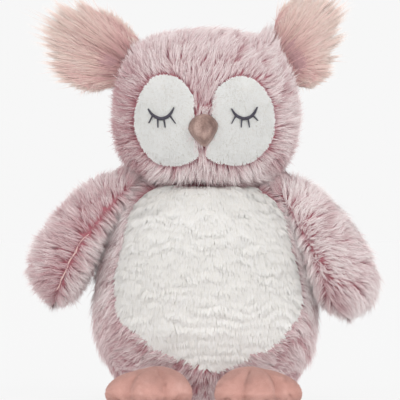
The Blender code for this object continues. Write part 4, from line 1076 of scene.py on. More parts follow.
    # the seam down the front edge shows between the two naps as a thin pale welt
    t = np.linspace(0.44, 0.90, 120)
    ridge = k.section(t, 0.10 * noise(np.stack([t * 40, 0 * t, 0 * t], 1), 5, seed + 90), 0.3)
    ridge = ridge + 0.9 * noise3(ridge, 6, seed + 91) * [1, 0.4, 1]
    along = unit(np.gradient(ridge, axis=0))
    fore = unit(ridge - k.section(t, 0 * t, 5.0))
    sideways = np.cross(along, fore)
    rounds = np.arange(8) * pi / 4
    girth = 0.62 * np.sin(pi * np.linspace(0.06, 0.94, 120)) ** 0.4 * (1 + 0.35 * noise(ridge, 2.2, seed + 92))
    tube = ridge[:, None] + girth[:, None, None] * (fore[:, None] * np.cos(rounds)[None, :, None]
                                                    + sideways[:, None] * np.sin(rounds)[None, :, None])
    faces = [(i * 8 + a, i * 8 + (a + 1) % 8, (i + 1) * 8 + (a + 1) % 8, (i + 1) * 8 + a) for i in range(119) for a in range(8)]
    faces += [tuple(range(7, -1, -1)), tuple(119 * 8 + a for a in range(8))]
    put("wing_%s_welt" % side, tube.reshape(-1, 3), faces, WELT, "wing_" + side)


wing("left", WING_LEFT, 501)
wing("right", WING_RIGHT, 601)


# ------------------------------------------------------------------ ears
def ear(side, outline, seed, crease, hang):
    rng = np.random.default_rng(seed)
    pts = np.array(outline, float)
    upper, lower = pts[0], pts[-1]
    root = (upper + lower) / 2
    along = unit(lower - upper)
    away = np.array([along[1], -along[0]])
    if away @ (pts.mean(0) - root) < 0:
        away = -away
    line = round_outline(outline, 96)
    rel = line - root
    leaf = root + np.outer(rel @ away * 0.60 - 1.0, away) + np.outer(rel @ along, along) * 0.88
    centre = leaf.mean(0)
    far = ((leaf - root) @ away).max()

    def half(x, z):
        """Half thickness of the cloth leaf under the pile, over x, z."""
        t = np.clip((np.stack([x, z], -1) - root) @ away / far, 0, 1)
        return 1.2 + 3.6 * np.sin(pi * np.minimum(1, t + 0.14)) ** 0.8

    for name, sign in (("front", -1), ("back", 1)):
        rings, n = 8, len(leaf)
        verts, faces = [], []
        for layer in (0, 1):
            verts.append(np.array([[centre[0], sign * (0.3 if layer else 0.3 + half(*centre)), centre[1]]]))
            for k in range(1, rings + 1):
                f = k / rings
                q = centre + (leaf - centre) * f
                y = 0.3 + (0 if layer else 1) * half(q[:, 0], q[:, 1]) * (1 - f**3) ** 0.6
                verts.append(np.stack([q[:, 0], sign * (y + (0 if layer else 0.25)), q[:, 1]], 1))
        verts = np.concatenate(verts)
        h = 1 + n * rings
        for i in range(n):
            j = (i + 1) % n
            faces += [(0, 1 + i, 1 + j), (h, h + 1 + j, h + 1 + i)]
            for k in range(rings - 1):
                a, b = 1 + k * n, 1 + (k + 1) * n
                faces += [(a + i, b + i, b + j, a + j), (h + a + j, h + b + j, h + b + i, h + a + i)]
            a = 1 + (rings - 1) * n
            faces.append((a + i, h + a + i, h + a + j, a + j))
        if (sign < 0) == (np.sum(leaf[:, 0] * np.roll(leaf[:, 1], -1) - np.roll(leaf[:, 0], -1) * leaf[:, 1]) < 0):
            faces = [f[::-1] for f in faces]
        put("ear_%s_%s_cloth" % (side, name), verts, faces, EAR_CLOTH, "ear_" + side,
            replaces=("ear_%s_%s" % (side, name),))

        focus = root - away * 22.0
        ang0 = np.arctan2(away[1], away[0])
        ends = Line([t for t, _ in hang], [r for _, r in hang])

        m = 30000
        lo, hi = leaf.min(0) - 1, leaf.max(0) + 1
        q = np.stack([rng.uniform(lo[0], hi[0], m), rng.uniform(lo[1], hi[1], m)], 1)
        q = q[inside(leaf, q[:, 0], q[:, 1])]
        near = np.clip(1.2 - 1.1 * ((q - root) @ away) / far, 0.08, 1) ** 1.3
        q = q[rng.random(len(q)) < near][:13500]
        # more of it springs from the seam on the head, a little under the head's fur
        m = 4200
        f = rng.random(m)
        base = upper + (lower - upper) * f[:, None] + away * rng.uniform(-3.2, 3.0, m)[:, None]
        q = np.concatenate([q, base])
        rel = q - focus
        th = (np.arctan2(rel[:, 1], rel[:, 0]) - ang0 + pi) % (2 * pi) - pi
        q = q[(th > hang[0][0] - 0.02) & (th < hang[-1][0] + 0.02)]
        n = len(q)
        rel = q - focus
        th = (np.arctan2(rel[:, 1], rel[:, 0]) - ang0 + pi) % (2 * pi) - pi
        r0 = np.linalg.norm(rel, axis=1)
        q3 = np.stack([q[:, 0], 0 * q[:, 0] + sign * 9.0, q[:, 1]], 1)
        # it splays a little towards both rims, and gathers loosely into wisps of uneven length
        th1 = th * 1.08 + 0.06 * noise(q3, 16, seed + 5) + 0.04 * noise(q3, 6, seed + 4) + 0.04 * rng.standard_normal(n)
        first, last = hang[0][0], hang[-1][0]
        th1 = np.where(th1 < first, 2 * first - th1, np.where(th1 > last, 2 * last - th1, th1)).clip(first, last)
        wisps = np.linspace(first - 0.02, last + 0.02, 44)
        wisps = wisps + 0.012 * rng.standard_normal(44)
        own = np.abs(th1[:, None] - wisps[None]).argmin(1)
        gap_to = th1 - wisps[own]
        long = 0.04 + 0.19 * rng.random(44) ** 1.3
        core = np.exp(-(gap_to / 0.010) ** 2)
        far_out = ends(th1)
        reach = far_out * (0.86 + long[own] * core) * (1.0 - 0.22 * rng.random(n) ** 1.5)
        fly = rng.random(n) < 0.05
        reach = np.where(fly, reach * rng.uniform(1.0, 1.10, n), reach)
        reach = np.minimum(reach, r0 + 22 + 34 * rng.random(n))
        reach = np.maximum(reach, r0 + 4)
        close = np.clip((reach - 0.66 * far_out) / (0.32 * far_out), 0, 1)
        th2 = th1 - gap_to * 0.80 * close + (0.008 + 0.05 * fly) * rng.standard_normal(n)
        direct = np.stack([np.cos(th2 + ang0), 0 * th2, np.sin(th2 + ang0)], 1)
        tip = np.stack([focus[0] + 0 * th2, 0 * th2, focus[1] + 0 * th2], 1) + direct * reach[:, None]
        L = (reach - r0)
        deep = half(q[:, 0], q[:, 1]) * np.clip(1 - 0.3 * rng.random(n), 0, 1)
        start = np.stack([q[:, 0], sign * deep, q[:, 1]], 1)
        puff = noise(np.stack([wisps[own] * 40, 0 * th, 0 * th], 1), 2.2, seed + 3)
        rimward = np.clip((reach / far_out - 0.6) / 0.35, 0, 1)
        tip[:, 1] = sign * (0.6 + 6.5 * rng.random(n) ** 1.4) * (1 - 0.75 * rimward) - sign * 1.6 * rng.random(n) * rimward + 1.0 * puff
        tip[:, 2] -= (L / 40) ** 2 * 0.5
        middle = start * 0.5 + tip * 0.5
        middle[:, 1] += sign * (2.0 + 2.4 * rng.random(n)) * np.clip(L / 30, 0.3, 1.1)
        side_on = np.cross(direct, [0, 1.0, 0])
        swing = 1.3 * noise(q3, 7, seed + 6) + 0.8 * rng.standard_normal(n)
        brim = np.clip((th1 - last) / 0.22 + 1, 0, 1) - np.clip((first - th1) / 0.22 + 1, 0, 1)
        swing = swing * (1 - 0.6 * np.abs(brim)) - 1.4 * brim
        # the crease near the head, where the upper half of the ear lies over the lower
        fold = np.exp(-((th - crease) / 0.20) ** 2) * np.clip(1.3 - (r0 - 20) / 20, 0, 1)
        swing = swing + 2.4 * np.tanh((th - crease) / 0.05) * fold
        middle[:, 1] += sign * 2.6 * np.tanh((crease - th) / 0.05) * fold
        middle += side_on * swing[:, None]
        # most strands face forward or back, one in five the rims, so that the ear is as full from the side
        out = np.tile([0.0, sign * 1.0, 0.0], (n, 1))
        edge = (rng.random(n) < 0.2)[:, None]
        out = np.where(edge, unit(out * 0.45 + side_on * np.sign(th - 0.02)[:, None]), out)
        soft = unit(out + direct * 0.15 + side_on * (0.25 * noise(q3, 5, seed + 7))[:, None])
        near = np.exp(-((th - crease) / 0.09) ** 2) * np.clip(1.2 - (r0 - 22) / 20, 0, 1)
        # darker at the crease near the head, painted crease shade, and darker close to the head; the right ear is a
        # little lighter, painted light
        tone = 0.50 + 0.05 * puff + 0.08 * noise(q3, 7, seed + 8) - (0.8 if side == "left" else 0.35) * near + 0.20 * np.clip((reach / far_out - 0.80) / 0.2, 0, 1)
        tone = tone - 0.14 * np.clip(1 - (r0 - 22) / 10, 0, 1) + (0.10 if side == "right" else 0.02)
        g = ribbons(start, middle, tip, out, soft, rng, 0.32 + 0 * L, tone + 0.04 * rng.standard_normal(n),
                    rng.random(n) < 0.30 + 0.30 * noise(q3, 18, seed + 9), 18.0, (0.0, 0.34, 0.67, 1.0), 0.5, 0.95)
        g["late"] = 0.50 * np.clip((r0 - 22) / (far_out - 20), 0, 1) * (1 - near)
        g["late"] = np.maximum(g["late"], 0.42 * np.abs(brim) * (1 - near))
        hair("ear_%s_%s_silk" % (side, name), [g], EAR, "ear_" + side)


# how far the hair reaches from a point inside the head, mm, over the angle from the middle of the ear
ear("left", EAR_LEFT, 701, 0.02,
    [(-0.654, 31), (-0.55, 42), (-0.42, 55), (-0.33, 69), (-0.2, 84), (-0.08, 93), (0.0, 93), (0.16, 88), (0.25, 80),
     (0.325, 75), (0.45, 68), (0.53, 66), (0.66, 53), (0.71, 39), (0.75, 30)])
ear("right", EAR_RIGHT, 801, 0.60,
    [(-0.72, 31), (-0.66, 39), (-0.614, 45), (-0.45, 50), (-0.305, 54), (-0.187, 57), (-0.085, 64.5), (0.045, 71),
     (0.159, 79), (0.25, 80), (0.33, 78), (0.54, 69), (0.66, 57), (0.70, 49)])


# ------------------------------------------------------------------ beak
k = Nodes("beak_satin_cloth", 0.5, sheen=0.1, sheen_rough=0.35, sheen_tint="#F2DCD4", specular=0.3)
fine = k.noise(900.0, 4.0, 0.6)
broad = k.noise(110.0, 3.0, 0.6, vector=k.stretched((1.0, 1.0, 0.45)))
k.colour(k.ramp(k.math("ADD", k.math("MULTIPLY", broad, 0.7), k.math("MULTIPLY", fine, 0.3)),
                [(0.34, "#67504B"), (0.5, "#8A7068"), (0.64, "#AB9188")]))
weave = k.node("ShaderNodeTexWave")
weave.inputs["Scale"].default_value = 520.0
weave.inputs["Distortion"].default_value = 2.0
k.link(k.stretched((1, 1, 0.6), (0, 0.7, 0)), weave.inputs["Vector"])
k.bump(k.math("ADD", k.math("MULTIPLY", weave.outputs["Fac"], 0.3), fine), 0.35, 0.00015)
k.rough(k.math("ADD", k.math("MULTIPLY", fine, 0.22), 0.30))
SATIN = k.m

beak_line = round_outline(BEAK, 96)
bc = np.array([-0.9, 170.2])
rings = 26
verts, faces = [], []


def beak_point(f, less=0.0, shrink=0.0):
    """One ring of the beak; f runs from its apex, low down over the tip, to its seam."""
    q = bc + (beak_line - bc) * f
    q = q + (bc - q) / np.maximum(np.linalg.norm(q - bc, axis=1)[:, None], 1e-6) * shrink
    a = np.arctan2(beak_line[:, 1] - bc[1], beak_line[:, 0] - bc[0])
    p = on_face(q[:, 0], q[:, 1], 2.3 + 0 * a)
    top = 11.4 * (1 - f**1.9) ** 0.72 * (1 - 0.10 * np.sin(pi * f) * np.clip(np.sin(a), 0, 1))
    gather = np.sin(15 * a + 2.2 * np.sin(3 * a)) * 0.30 * f**5 + np.sin(8 * a + 1.0) * 0.22 * f**3
    # a crease runs from the top seam down to the right
    line = q[:, 0] - (-0.5 + (184 - q[:, 1]) * 0.75)
    fold = 1.0 * np.exp(-(line / 0.9) ** 2) * np.clip((q[:, 1] - 175.5) / 3, 0, 1) * (f < 0.98)
    ridge = 0.35 * np.exp(-((line - 1.8) / 1.3) ** 2) * np.clip((q[:, 1] - 175.5) / 3, 0, 1) * (f < 0.98)
    dent = 0.32 * noise(np.stack([q[:, 0], 0 * a, q[:, 1]], 1), 3.2, 41)
    p[:, 1] -= np.maximum(0.0, top + (gather - fold + ridge + dent) * (1 - f**16) - less)
    return p


for less in (0.0, 0.7):
    verts.append(beak_point(0.0, less)[:1])
    for r in range(1, rings + 1):
        verts.append(beak_point(sin(pi / 2 * r / rings), less if r < rings else 0.0, 0.0 if less == 0 else 0.6))
verts = np.concatenate(verts)
n = len(beak_line)
h = 1 + n * rings
for i in range(n):
    j = (i + 1) % n
    faces += [(0, 1 + i, 1 + j), (h, h + 1 + j, h + 1 + i)]
    for r in range(rings - 1):
        a, b = 1 + r * n, 1 + (r + 1) * n
        faces += [(a + i, b + i, b + j, a + j), (h + a + j, h + b + j, h + b + i, h + a + i)]
    a = 1 + (rings - 1) * n
    faces.append((a + i, h + a + i, h + a + j, a + j))
put("beak_satin_cap", verts, faces, SATIN, "head", replaces=("beak_cover",))

# ------------------------------------------------------------------ sewn eyes
k = Nodes("charcoal_satin_thread", 0.42, sheen=0.2, sheen_rough=0.3, specular=0.5)
k.colour(k.ramp(k.noise(1400.0, 2.0), [(0.35, "#2B2732"), (0.65, "#4A4654")]))
ply = k.node("ShaderNodeTexWave")
ply.inputs["Scale"].default_value = 1500.0
k.link(k.place(), ply.inputs["Vector"])
k.bump(ply.outputs["Fac"], 0.3, 0.00005)
THREAD = k.m
STITCH_LIFT = 3.0


def stitches(lid, lashes):
    """Satin stitches over a closed eyelid and its lashes: each a short thread laid across the shape."""
    out = []
    fz = Line([p[0] for p in lid], [p[1] for p in lid])
    xs = np.linspace(lid[0][0], lid[-1][0], 400)
    path = np.stack([xs, fz(xs)], 1)
    s = np.concatenate([[0], np.cumsum(np.linalg.norm(np.diff(path, axis=0), axis=1))])
    want = np.arange(0.15, s[-1] - 0.1, 0.26)
    cx, cz = np.interp(want, s, path[:, 0]), np.interp(want, s, path[:, 1])
    tx, tz = np.gradient(cx), np.gradient(cz)
    tn = np.hypot(tx, tz)
    tx, tz = tx / tn, tz / tn
    f = want / s[-1] * 2 - 1
    half = 0.22 + 0.78 * np.maximum(0, 1 - np.abs(f) ** 2.2) ** 0.8
    for x, z, a, b, w in zip(cx, cz, tx, tz, half):
        d = np.array([-b + 0.35 * a, a + 0.35 * b])
        out.append((np.array([x, z]) - d * w, np.array([x, z]) + d * w, 0.0))
    for root, tip_x, tip_z in lashes:
        a, b = np.array([root, float(fz(root)) - 0.3]), np.array([tip_x, tip_z])
        length = np.linalg.norm(b - a)
        d = (b - a) / length
        c = np.array([-d[1], d[0]])
        for t in np.arange(0.0, length - 0.1, 0.24):
            w = 0.46 * (1 - 0.55 * t / length)
            m = a + d * t
            out.append((m - (c + 0.3 * d) * w, m + (c + 0.3 * d) * w, 0.06))
    return out


def sew(name, items, radius, node):
    """Each stitch is a thread with a round section that arches over the cloth and dives at its ends."""
    verts, faces = [], []
    arc = np.linspace(0, 1, 6)
    rounds = np.arange(6) * pi / 3
    base = 0
    for i, (a, b, extra) in enumerate(items):
        q = a[None] + (b - a)[None] * arc[:, None]
        u, w = seen_at(q[:, 0], q[:, 1], STITCH_LIFT + 0.2)
        q = np.stack([u, w], 1)
        lift = STITCH_LIFT + extra + 0.42 * np.sin(pi * arc) ** 0.6 - 0.25 * (np.abs(arc - 0.5) > 0.45) + 0.02 * (i % 3)
        mid = on_face(q[:, 0], q[:, 1], lift)
        nn = face_normal(q[:, 0], q[:, 1])
        t = unit(np.gradient(mid, axis=0))
        c = unit(np.cross(t, nn))
        up = np.cross(c, t)
        ring = mid[:, None] + radius * (c[:, None] * np.cos(rounds)[None, :, None] + up[:, None] * np.sin(rounds)[None, :, None])
        verts.append(ring.reshape(-1, 3))
        for r in range(5):
            for j in range(6):
                m = (j + 1) % 6
                faces.append((base + r * 6 + j, base + r * 6 + m, base + r * 6 + 6 + m, base + r * 6 + 6 + j))
        faces.append(tuple(base + j for j in reversed(range(6))))
        faces.append(tuple(base + 30 + j for j in range(6)))
        base += 36
    return put(name, np.concatenate(verts), faces, THREAD, "head", replaces=(node,))


sew("eye_stitches_left", stitches(LID_LEFT, LASHES_LEFT), 0.17, "eye_embroidery_left")
sew("eye_stitches_right", stitches(LID_RIGHT, LASHES_RIGHT), 0.17, "eye_embroidery_right")


# ------------------------------------------------------------------ feet
k = Nodes("velour_cloth", 0.85, sheen=0.3, sheen_rough=0.45, sheen_tint="#FFDCD2", specular=0.15)
broad = k.noise(55.0, 3.0, 0.6)
fine = k.noise(1300.0, 3.0, 0.7)
k.colour(k.ramp(k.math("ADD", k.math("MULTIPLY", broad, 0.65), k.math("MULTIPLY", fine, 0.35)),
                [(0.30, "#B98A7F"), (0.5, "#C5988E"), (0.70, "#D0A89F")]))
k.bump(k.math("ADD", k.math("MULTIPLY", broad, 0.6), fine), 0.5, 0.0003)
VELOUR_CLOTH = k.m
k = Nodes("velour_seam", 0.85, sheen=0.3, sheen_rough=0.4, sheen_tint="#FFE9E2", specular=0.15)
k.colour(k.ramp(k.noise(900.0, 3.0), [(0.3, "#E0B4A9"), (0.7, "#ECC9BF")]))
k.bump(k.noise(1500.0, 2.0), 0.4, 0.0002)
VELOUR_SEAM = k.m


class Foot:
    def __init__(self, f):
        self.c = np.array(f["at"], float)
        turn = radians(f["turn"])
        self.fwd = np.array([-sin(turn), -cos(turn)])
        self.lat = np.array([cos(turn), -sin(turn)])
        self.lobes = f["lobes"]
        toes = sorted(np.arctan2(-v, u) for u, v, _ in f["lobes"][3:])
        self.notches = [(toes[0] + toes[1]) / 2, (toes[1] + toes[2]) / 2]
        self.outer = 1 if f["turn"] > 0 else -1      # the crease of the outer toe runs further up

    def notch(self, th, width=0.13):
        th = (th + pi) % (2 * pi) - pi
        return sum(np.exp(-((th - c) / width) ** 2) for c in self.notches)

    def reach(self, th):
        total = 0.0
        for u, v, r in self.lobes:
            along = u * np.cos(th) - v * np.sin(th)
            off = r * r - (u * u + v * v - along * along)
            best = np.where(off > 0, along + np.sqrt(np.maximum(off, 0)), 0.0)
            total = total + np.maximum(best, 0) ** 14
        return total ** (1 / 14) * (1 - 0.060 * self.notch(th, 0.12))

    def top(self, s, th, by=0.0, less=0.0):
        """A point of the upper; s runs from the middle over its widest ring, at 0.8, to the rim, th round from the
        toes, whose rim curls up a little from the ground."""
        base = self.reach(th)
        a, b = np.clip(s / 0.8, 0, 1), np.clip((s - 0.8) / 0.2, 0, 1)
        r = (base - by) * a * (1 - 0.11 * b**2)
        xy = self.c + self.fwd * (r * np.cos(th))[..., None] + self.lat * (r * np.sin(th))[..., None]
        k = 1.0 - 0.10 * np.cos(th) * a - 0.20 * np.clip(-np.sin(th) * self.outer, 0, 1) * a
        lift = 1.3 * np.clip((np.cos(th) + 0.25) / 0.6, 0, 1) * a**3
        z = 7.6 + lift + ((FOOT_H - 5.0) * k - less) * np.maximum(0.0, 1 - a**3.0) ** 0.58 - 5.6 * np.sin(b * pi / 2)
        turn = (th + pi) % (2 * pi) - pi
        for c, long in zip(self.notches, (self.outer < 0, self.outer > 0)):
            depth, start = (1.3, 0.34) if long else (0.7, 0.68)
            z = z - depth * np.exp(-((turn - c) / 0.17) ** 2) * np.clip((a - start) / 0.3, 0, 1) * (1 - b)
        return np.stack([xy[..., 0], xy[..., 1], z], -1)


def foot(side, f, seed):
    k = Foot(f)
    rng = np.random.default_rng(seed)
    cols, rows = 220, 44
    th = np.linspace(0, 2 * pi, cols, endpoint=False)
    s = 1 - (1 - np.linspace(0, 1, rows)) ** 1.9
    S, T = np.meshgrid(s, th, indexing="ij")

    def bulge(p):
        rim = np.clip((p[..., 2] - 2.0) / 4, 0, 1)
        return (0.38 * noise(p, 9, seed) + 0.16 * noise(p, 3.6, seed + 1)) * rim

    a, b = k.top(S, T), k.top(S, T, 1.2, 1.2)
    up = unit(np.stack([a[..., 0] - k.c[0], a[..., 1] - k.c[1], 0 * a[..., 0] + 14.0], -1))
    shift = up * bulge(a)[..., None]
    verts, faces = shell(a + shift, b + shift, wrap=True)
    ob = put("foot_%s_velour" % side, verts, faces, VELOUR_CLOTH, "foot_" + side,
             replaces=("foot_%s_upper" % side,))
    bm = bmesh.new()
    bm.from_mesh(ob.data)
    bmesh.ops.remove_doubles(bm, verts=bm.verts[:], dist=2e-6)
    bmesh.ops.dissolve_degenerate(bm, dist=1e-7, edges=bm.edges[:])
    bmesh.ops.recalc_face_normals(bm, faces=bm.faces[:])
    bm.to_mesh(ob.data)
    bm.free()
    ob.data.shade_smooth()

    # the sewn rim, rolled to a thin edge
    ring = k.top(1.0 + 0 * th, th)
    outward = unit(np.stack([ring[:, 0] - k.c[0], ring[:, 1] - k.c[1], 0 * th], 1))
    rounds = np.arange(8) * pi / 4
    wob = 0.16 * noise(ring, 2.4, seed + 5)
    tube = (ring + [0, 0, -0.35])[:, None] + (0.8 + wob)[:, None, None] * (
        outward[:, None] * np.cos(rounds)[None, :, None] + np.array([0, 0, 1.0]) * np.sin(rounds)[None, :, None] * 1.05)
    faces = []
    for i in range(cols):
        j = (i + 1) % cols
        for m in range(8):
            q = (m + 1) % 8
            faces.append((i * 8 + m, j * 8 + m, j * 8 + q, i * 8 + q))
    put("foot_%s_seam" % side, tube.reshape(-1, 3), faces, VELOUR_SEAM, "foot_" + side)

    # the sole, flat where it stands
    rims = [(0.0, 0.0), (0.4, 0.0), (0.8, 0.0), (0.975, 0.0), (0.992, 0.2), (1.0, 0.55), (1.0, 1.0), (0.99, 1.4), (0.8, 1.5), (0.4, 1.5), (0.0, 1.5)]
    edge = k.top(np.full(cols, 1.0), th, 0.5)
    grid = np.array([np.concatenate([edge[:, :2] * r + k.c * (1 - r), (z + (edge[:, 2:] - 2.0) * r**3)], 1)
                     for r, z in rims])
    at = np.arange(len(rims) * cols).reshape(len(rims), cols)
    faces = [(at[r, c], at[r, (c + 1) % cols], at[r + 1, (c + 1) % cols], at[r + 1, c])
             for r in range(len(rims) - 1) for c in range(cols)]
    ob = put("foot_%s_sole_cloth" % side, grid.reshape(-1, 3), [tuple(int(x) for x in f) for f in faces], VELOUR_CLOTH,
             "foot_" + side, replaces=("foot_%s_sole" % side,))
    bm = bmesh.new()
    bm.from_mesh(ob.data)
    bmesh.ops.remove_doubles(bm, verts=bm.verts[:], dist=2e-6)
    bmesh.ops.dissolve_degenerate(bm, dist=1e-7, edges=bm.edges[:])
    bmesh.ops.recalc_face_normals(bm, faces=bm.faces[:])
    bm.to_mesh(ob.data)
    bm.free()

    # the nap: very short pile all over the upper
    def surf(u, v):
        p = k.top(np.asarray(u), np.asarray(v) * 2 * pi)
        up = unit(np.stack([p[..., 0] - k.c[0], p[..., 1] - k.c[1], 0 * p[..., 0] + 14.0], -1))
        return p + up * bulge(p)[..., None]

    m = 60000
    u, v = np.sqrt(rng.random(m)), rng.random(m)
    u = 1 - (1 - u) ** 1.6
    p, nn, du, _ = normals_of(surf, u, v)
    nn = nn * np.sign((nn * (p - np.array([k.c[0], k.c[1], 4.0]))).sum(-1, keepdims=True))
    d = along_skin(np.array([0.0, -1.0, -0.4]) + 0.7 * noise3(p, 8, seed + 7) + 0.5 * noise3(p, 2.5, seed + 8), nn)
    tone = 0.42 + 0.12 * noise(p, 9, seed + 9) + 0.10 * noise(p, 3, seed + 10)
    keep = u < 0.985
    g = grow(p[keep], nn[keep], d[keep], 1, 0.05, 1.15, rng, rise=0.66, reach=0.55, pull=0.0, stray=0.12, width=0.34,
             tone=tone[keep], second=0.35, steps=(0.0, 1.0), shade=0.96, fan=0.0, tone_vary=0.10,
             face=unit(0.45 * nn[keep] + np.array([0.0, -0.7, 0.35])))
    hair("foot_%s_nap" % side, [g], VELOUR, "foot_" + side)


foot("left", FOOT_LEFT, 901)
foot("right", FOOT_RIGHT, 951)


# ------------------------------------------------------------------ neck
def neck_surface(radius):
    def s(u, v):
        lat, phi = (np.asarray(u) - 0.5) * 1.25, np.asarray(v) * 2 * pi
        return np.stack([radius * np.cos(lat) * np.sin(phi), -radius * np.cos(lat) * np.cos(phi),
                         PIVOT_Z + radius * np.sin(lat)], -1)
    return s


u, v = np.meshgrid(np.linspace(0, 1, 16), np.linspace(0, 1, 96, endpoint=False), indexing="ij")
verts, faces = shell(neck_surface(26.2)(u, v), neck_surface(25.0)(u, v), wrap=True)
put("neck_cloth", verts, faces, ROSE_CLOTH, "neck")
rng = np.random.default_rng(61)
u, v = scatter(neck_surface(26.2), lambda u, v, p: (u > 0.05) & (u < 0.95), 1.9, 61, grid=(60, 200))
p = neck_surface(26.2)(u, v)
nn = unit(p - np.array([0, 0, PIVOT_Z]))
d = along_skin(np.array([0, 0, -1.0]) + 0.8 * noise3(p, 6, 62), nn)
# it stands straight out of the neck, so the ribbons face along it, forward or back
toward = np.stack([0 * p[:, 1], np.tanh((p[:, 1] - 8) / 10), 0 * p[:, 1]], 1)
turned_to = unit(toward - 0.9 * (toward * nn).sum(1, keepdims=True) * nn + np.array([0, 0, -0.3]))
# its fur is a deep rose, painted shade for the crease under the head
hair("neck_fur", [grow(p, nn, d, 15, 1.5, 12.0, rng, rise=0.85, reach=0.20, pull=0.4, face=turned_to, lean=1.2 * toward,
                       tone=0.34 + 0.15 * noise(p, 7, 63), second=0.3)], ROSE, "neck")

# ------------------------------------------------------------------ filling, bag and base
k = Nodes("fibre_filling", 0.9, sheen=0.25, specular=0.15)
strands = k.noise(260.0, 5.0, 0.7, vector=k.stretched((1.0, 0.35, 0.7), (0.4, 0.2, 0.9)), distortion=1.2)
k.colour(k.ramp(strands, [(0.30, "#CFCDC8"), (0.55, "#EDECE9"), (0.75, "#FAFAF8")]))
k.bump(strands, 0.8, 0.0006)
FIBRE = k.m
k = Nodes("bag_calico", 0.88, sheen=0.1, specular=0.2)
warp = k.node("ShaderNodeTexWave")
warp.inputs["Scale"].default_value = 420.0
k.link(k.place(), warp.inputs["Vector"])
weft = k.node("ShaderNodeTexWave", bands_direction="Z")
weft.inputs["Scale"].default_value = 420.0
k.link(k.place(), weft.inputs["Vector"])
cloth = k.math("MULTIPLY", warp.outputs["Fac"], weft.outputs["Fac"])
k.colour(k.ramp(cloth, [(0.0, "#B7B0A0"), (0.6, "#D9D3C4")]))
k.bump(cloth, 0.6, 0.0003)
CALICO = k.m
k = Nodes("rose_sewing_thread", 0.55, sheen=0.2, specular=0.35)
twist = k.node("ShaderNodeTexWave", bands_direction="DIAGONAL")
twist.inputs["Scale"].default_value = 900.0
k.link(k.place(), twist.inputs["Vector"])
k.colour(k.ramp(twist.outputs["Fac"], [(0.2, "#A0717A"), (0.8, "#C79AA0")]))
k.bump(twist.outputs["Fac"], 0.6, 0.0002)
ROSE_THREAD = k.m
for node in ("closing_thread", "neck_seam_thread"):
    o = frame["nodes"][node]
    o.data.materials.clear()
    o.data.materials.append(ROSE_THREAD)


def under_foot(k):
    """Keeps a foot's filling below the creases of its cover."""
    def keep(co):
        d = co[:, :2] - k.c
        u, v = d @ k.fwd, d @ k.lat
        th = np.arctan2(v, u)
        s = np.clip(np.hypot(u, v) / k.reach(th), 0, 1)
        top = k.top(s * 0.8, th)[:, 2] - 2.4
        co = co.copy()
        co[:, 2] = np.minimum(co[:, 2], np.maximum(top, 1.9))
        return co
    return keep


def filled(name, node, body, material, voxel, size, amount, seed, less=0.5, keep=None):
    """Replaces a plain solid by its own shape with the lumps of what fills it."""
    src = frame["nodes"][node]
    ob = bpy.data.objects.new(name, src.data.copy())
    scene.collection.objects.link(ob)
    m = ob.modifiers.new("remesh", "REMESH")
    m.mode = "VOXEL"
    m.voxel_size = voxel * 0.001
    m = ob.modifiers.new("smooth", "SMOOTH")
    m.factor, m.iterations = 0.6, 4
    bpy.context.view_layer.update()
    made = bpy.data.meshes.new_from_object(ob.evaluated_get(bpy.context.evaluated_depsgraph_get()))
    bpy.data.objects.remove(ob)
    n = len(made.vertices)
    co, no = np.empty(n * 3, np.float32), np.empty(n * 3, np.float32)
    made.vertices.foreach_get("co", co)
    made.vertices.foreach_get("normal", no)
    co, no = co.reshape(-1, 3) * 1000.0, no.reshape(-1, 3)
    lump = amount * (0.7 * noise(co, size, seed) + 0.3 * noise(co, size * 0.4, seed + 1)) - amount * 0.8 - less
    co = co + no * lump[:, None]
    if keep is not None:
        co = keep(co - SHIFT) + SHIFT
    co = co * 0.001
    made.vertices.foreach_set("co", co.astype(np.float32).ravel())
    made.update()
    made.shade_smooth()
    made.materials.clear()
    made.materials.append(material)
    made.name = name
    ob = bpy.data.objects.new(name, made)
    scene.collection.objects.link(ob)
    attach(ob, body)
    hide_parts(node)
    return ob


filled("body_filling", "body_stuffing", "torso", FIBRE, 3.0, 11, 0.9, 11, 1.4)
filled("head_filling", "head_stuffing", "head", FIBRE, 2.6, 10, 0.8, 12, 2.6)
filled("neck_filling", "neck_stuffing", "neck", FIBRE, 2.0, 8, 0.4, 13, 0.6)
filled("pellet_pouch", "pellet_bag", "torso", CALICO, 1.6, 3.4, 0.35, 14, 0.0)
filled("beak_filling", "beak_stuffing", "head", FIBRE, 0.7, 2.5, 0.15, 15, 2.4)
for i, side in enumerate(("left", "right")):
    filled("wing_%s_filling" % side, "wing_%s_stuffing" % side, "wing_" + side, FIBRE, 1.8, 8, 0.4, 20 + i)
    filled("foot_%s_filling" % side, "foot_%s_stuffing" % side, "foot_" + side, FIBRE, 1.3, 6, 0.3, 30 + i,
           keep=under_foot(Foot((FOOT_LEFT, FOOT_RIGHT)[i])))

# the flat oval it sits on, with a rolled edge
ring = np.linspace(0, 2 * pi, 128, endpoint=False)
rims = [(0.0, 0.0), (0.35, 0.0), (0.7, 0.0), (0.955, 0.0), (0.985, 0.25), (1.0, 0.8), (0.995, 1.4), (0.97, 1.8), (0.7, 1.95), (0.35, 1.9), (0.0, 1.9)]
grid = np.array([np.stack([42.6 * r * np.sin(ring), -36.6 * r * np.cos(ring), z + 0 * ring], 1) for r, z in rims])
at = np.arange(len(rims) * 128).reshape(len(rims), 128)
faces = [tuple(int(x) for x in (at[r, (c + 1) % 128], at[r, c], at[r + 1, c], at[r + 1, (c + 1) % 128]))
         for r in range(len(rims) - 1) for c in range(128)]
ob = put("base_cloth", grid.reshape(-1, 3), faces, ROSE_CLOTH, "torso", replaces=("base_panel",))
bm = bmesh.new()
bm.from_mesh(ob.data)
bmesh.ops.remove_doubles(bm, verts=bm.verts[:], dist=2e-6)
bmesh.ops.dissolve_degenerate(bm, dist=1e-7, edges=bm.edges[:])
bmesh.ops.recalc_face_normals(bm, faces=bm.faces[:])
bm.to_mesh(ob.data)
bm.free()


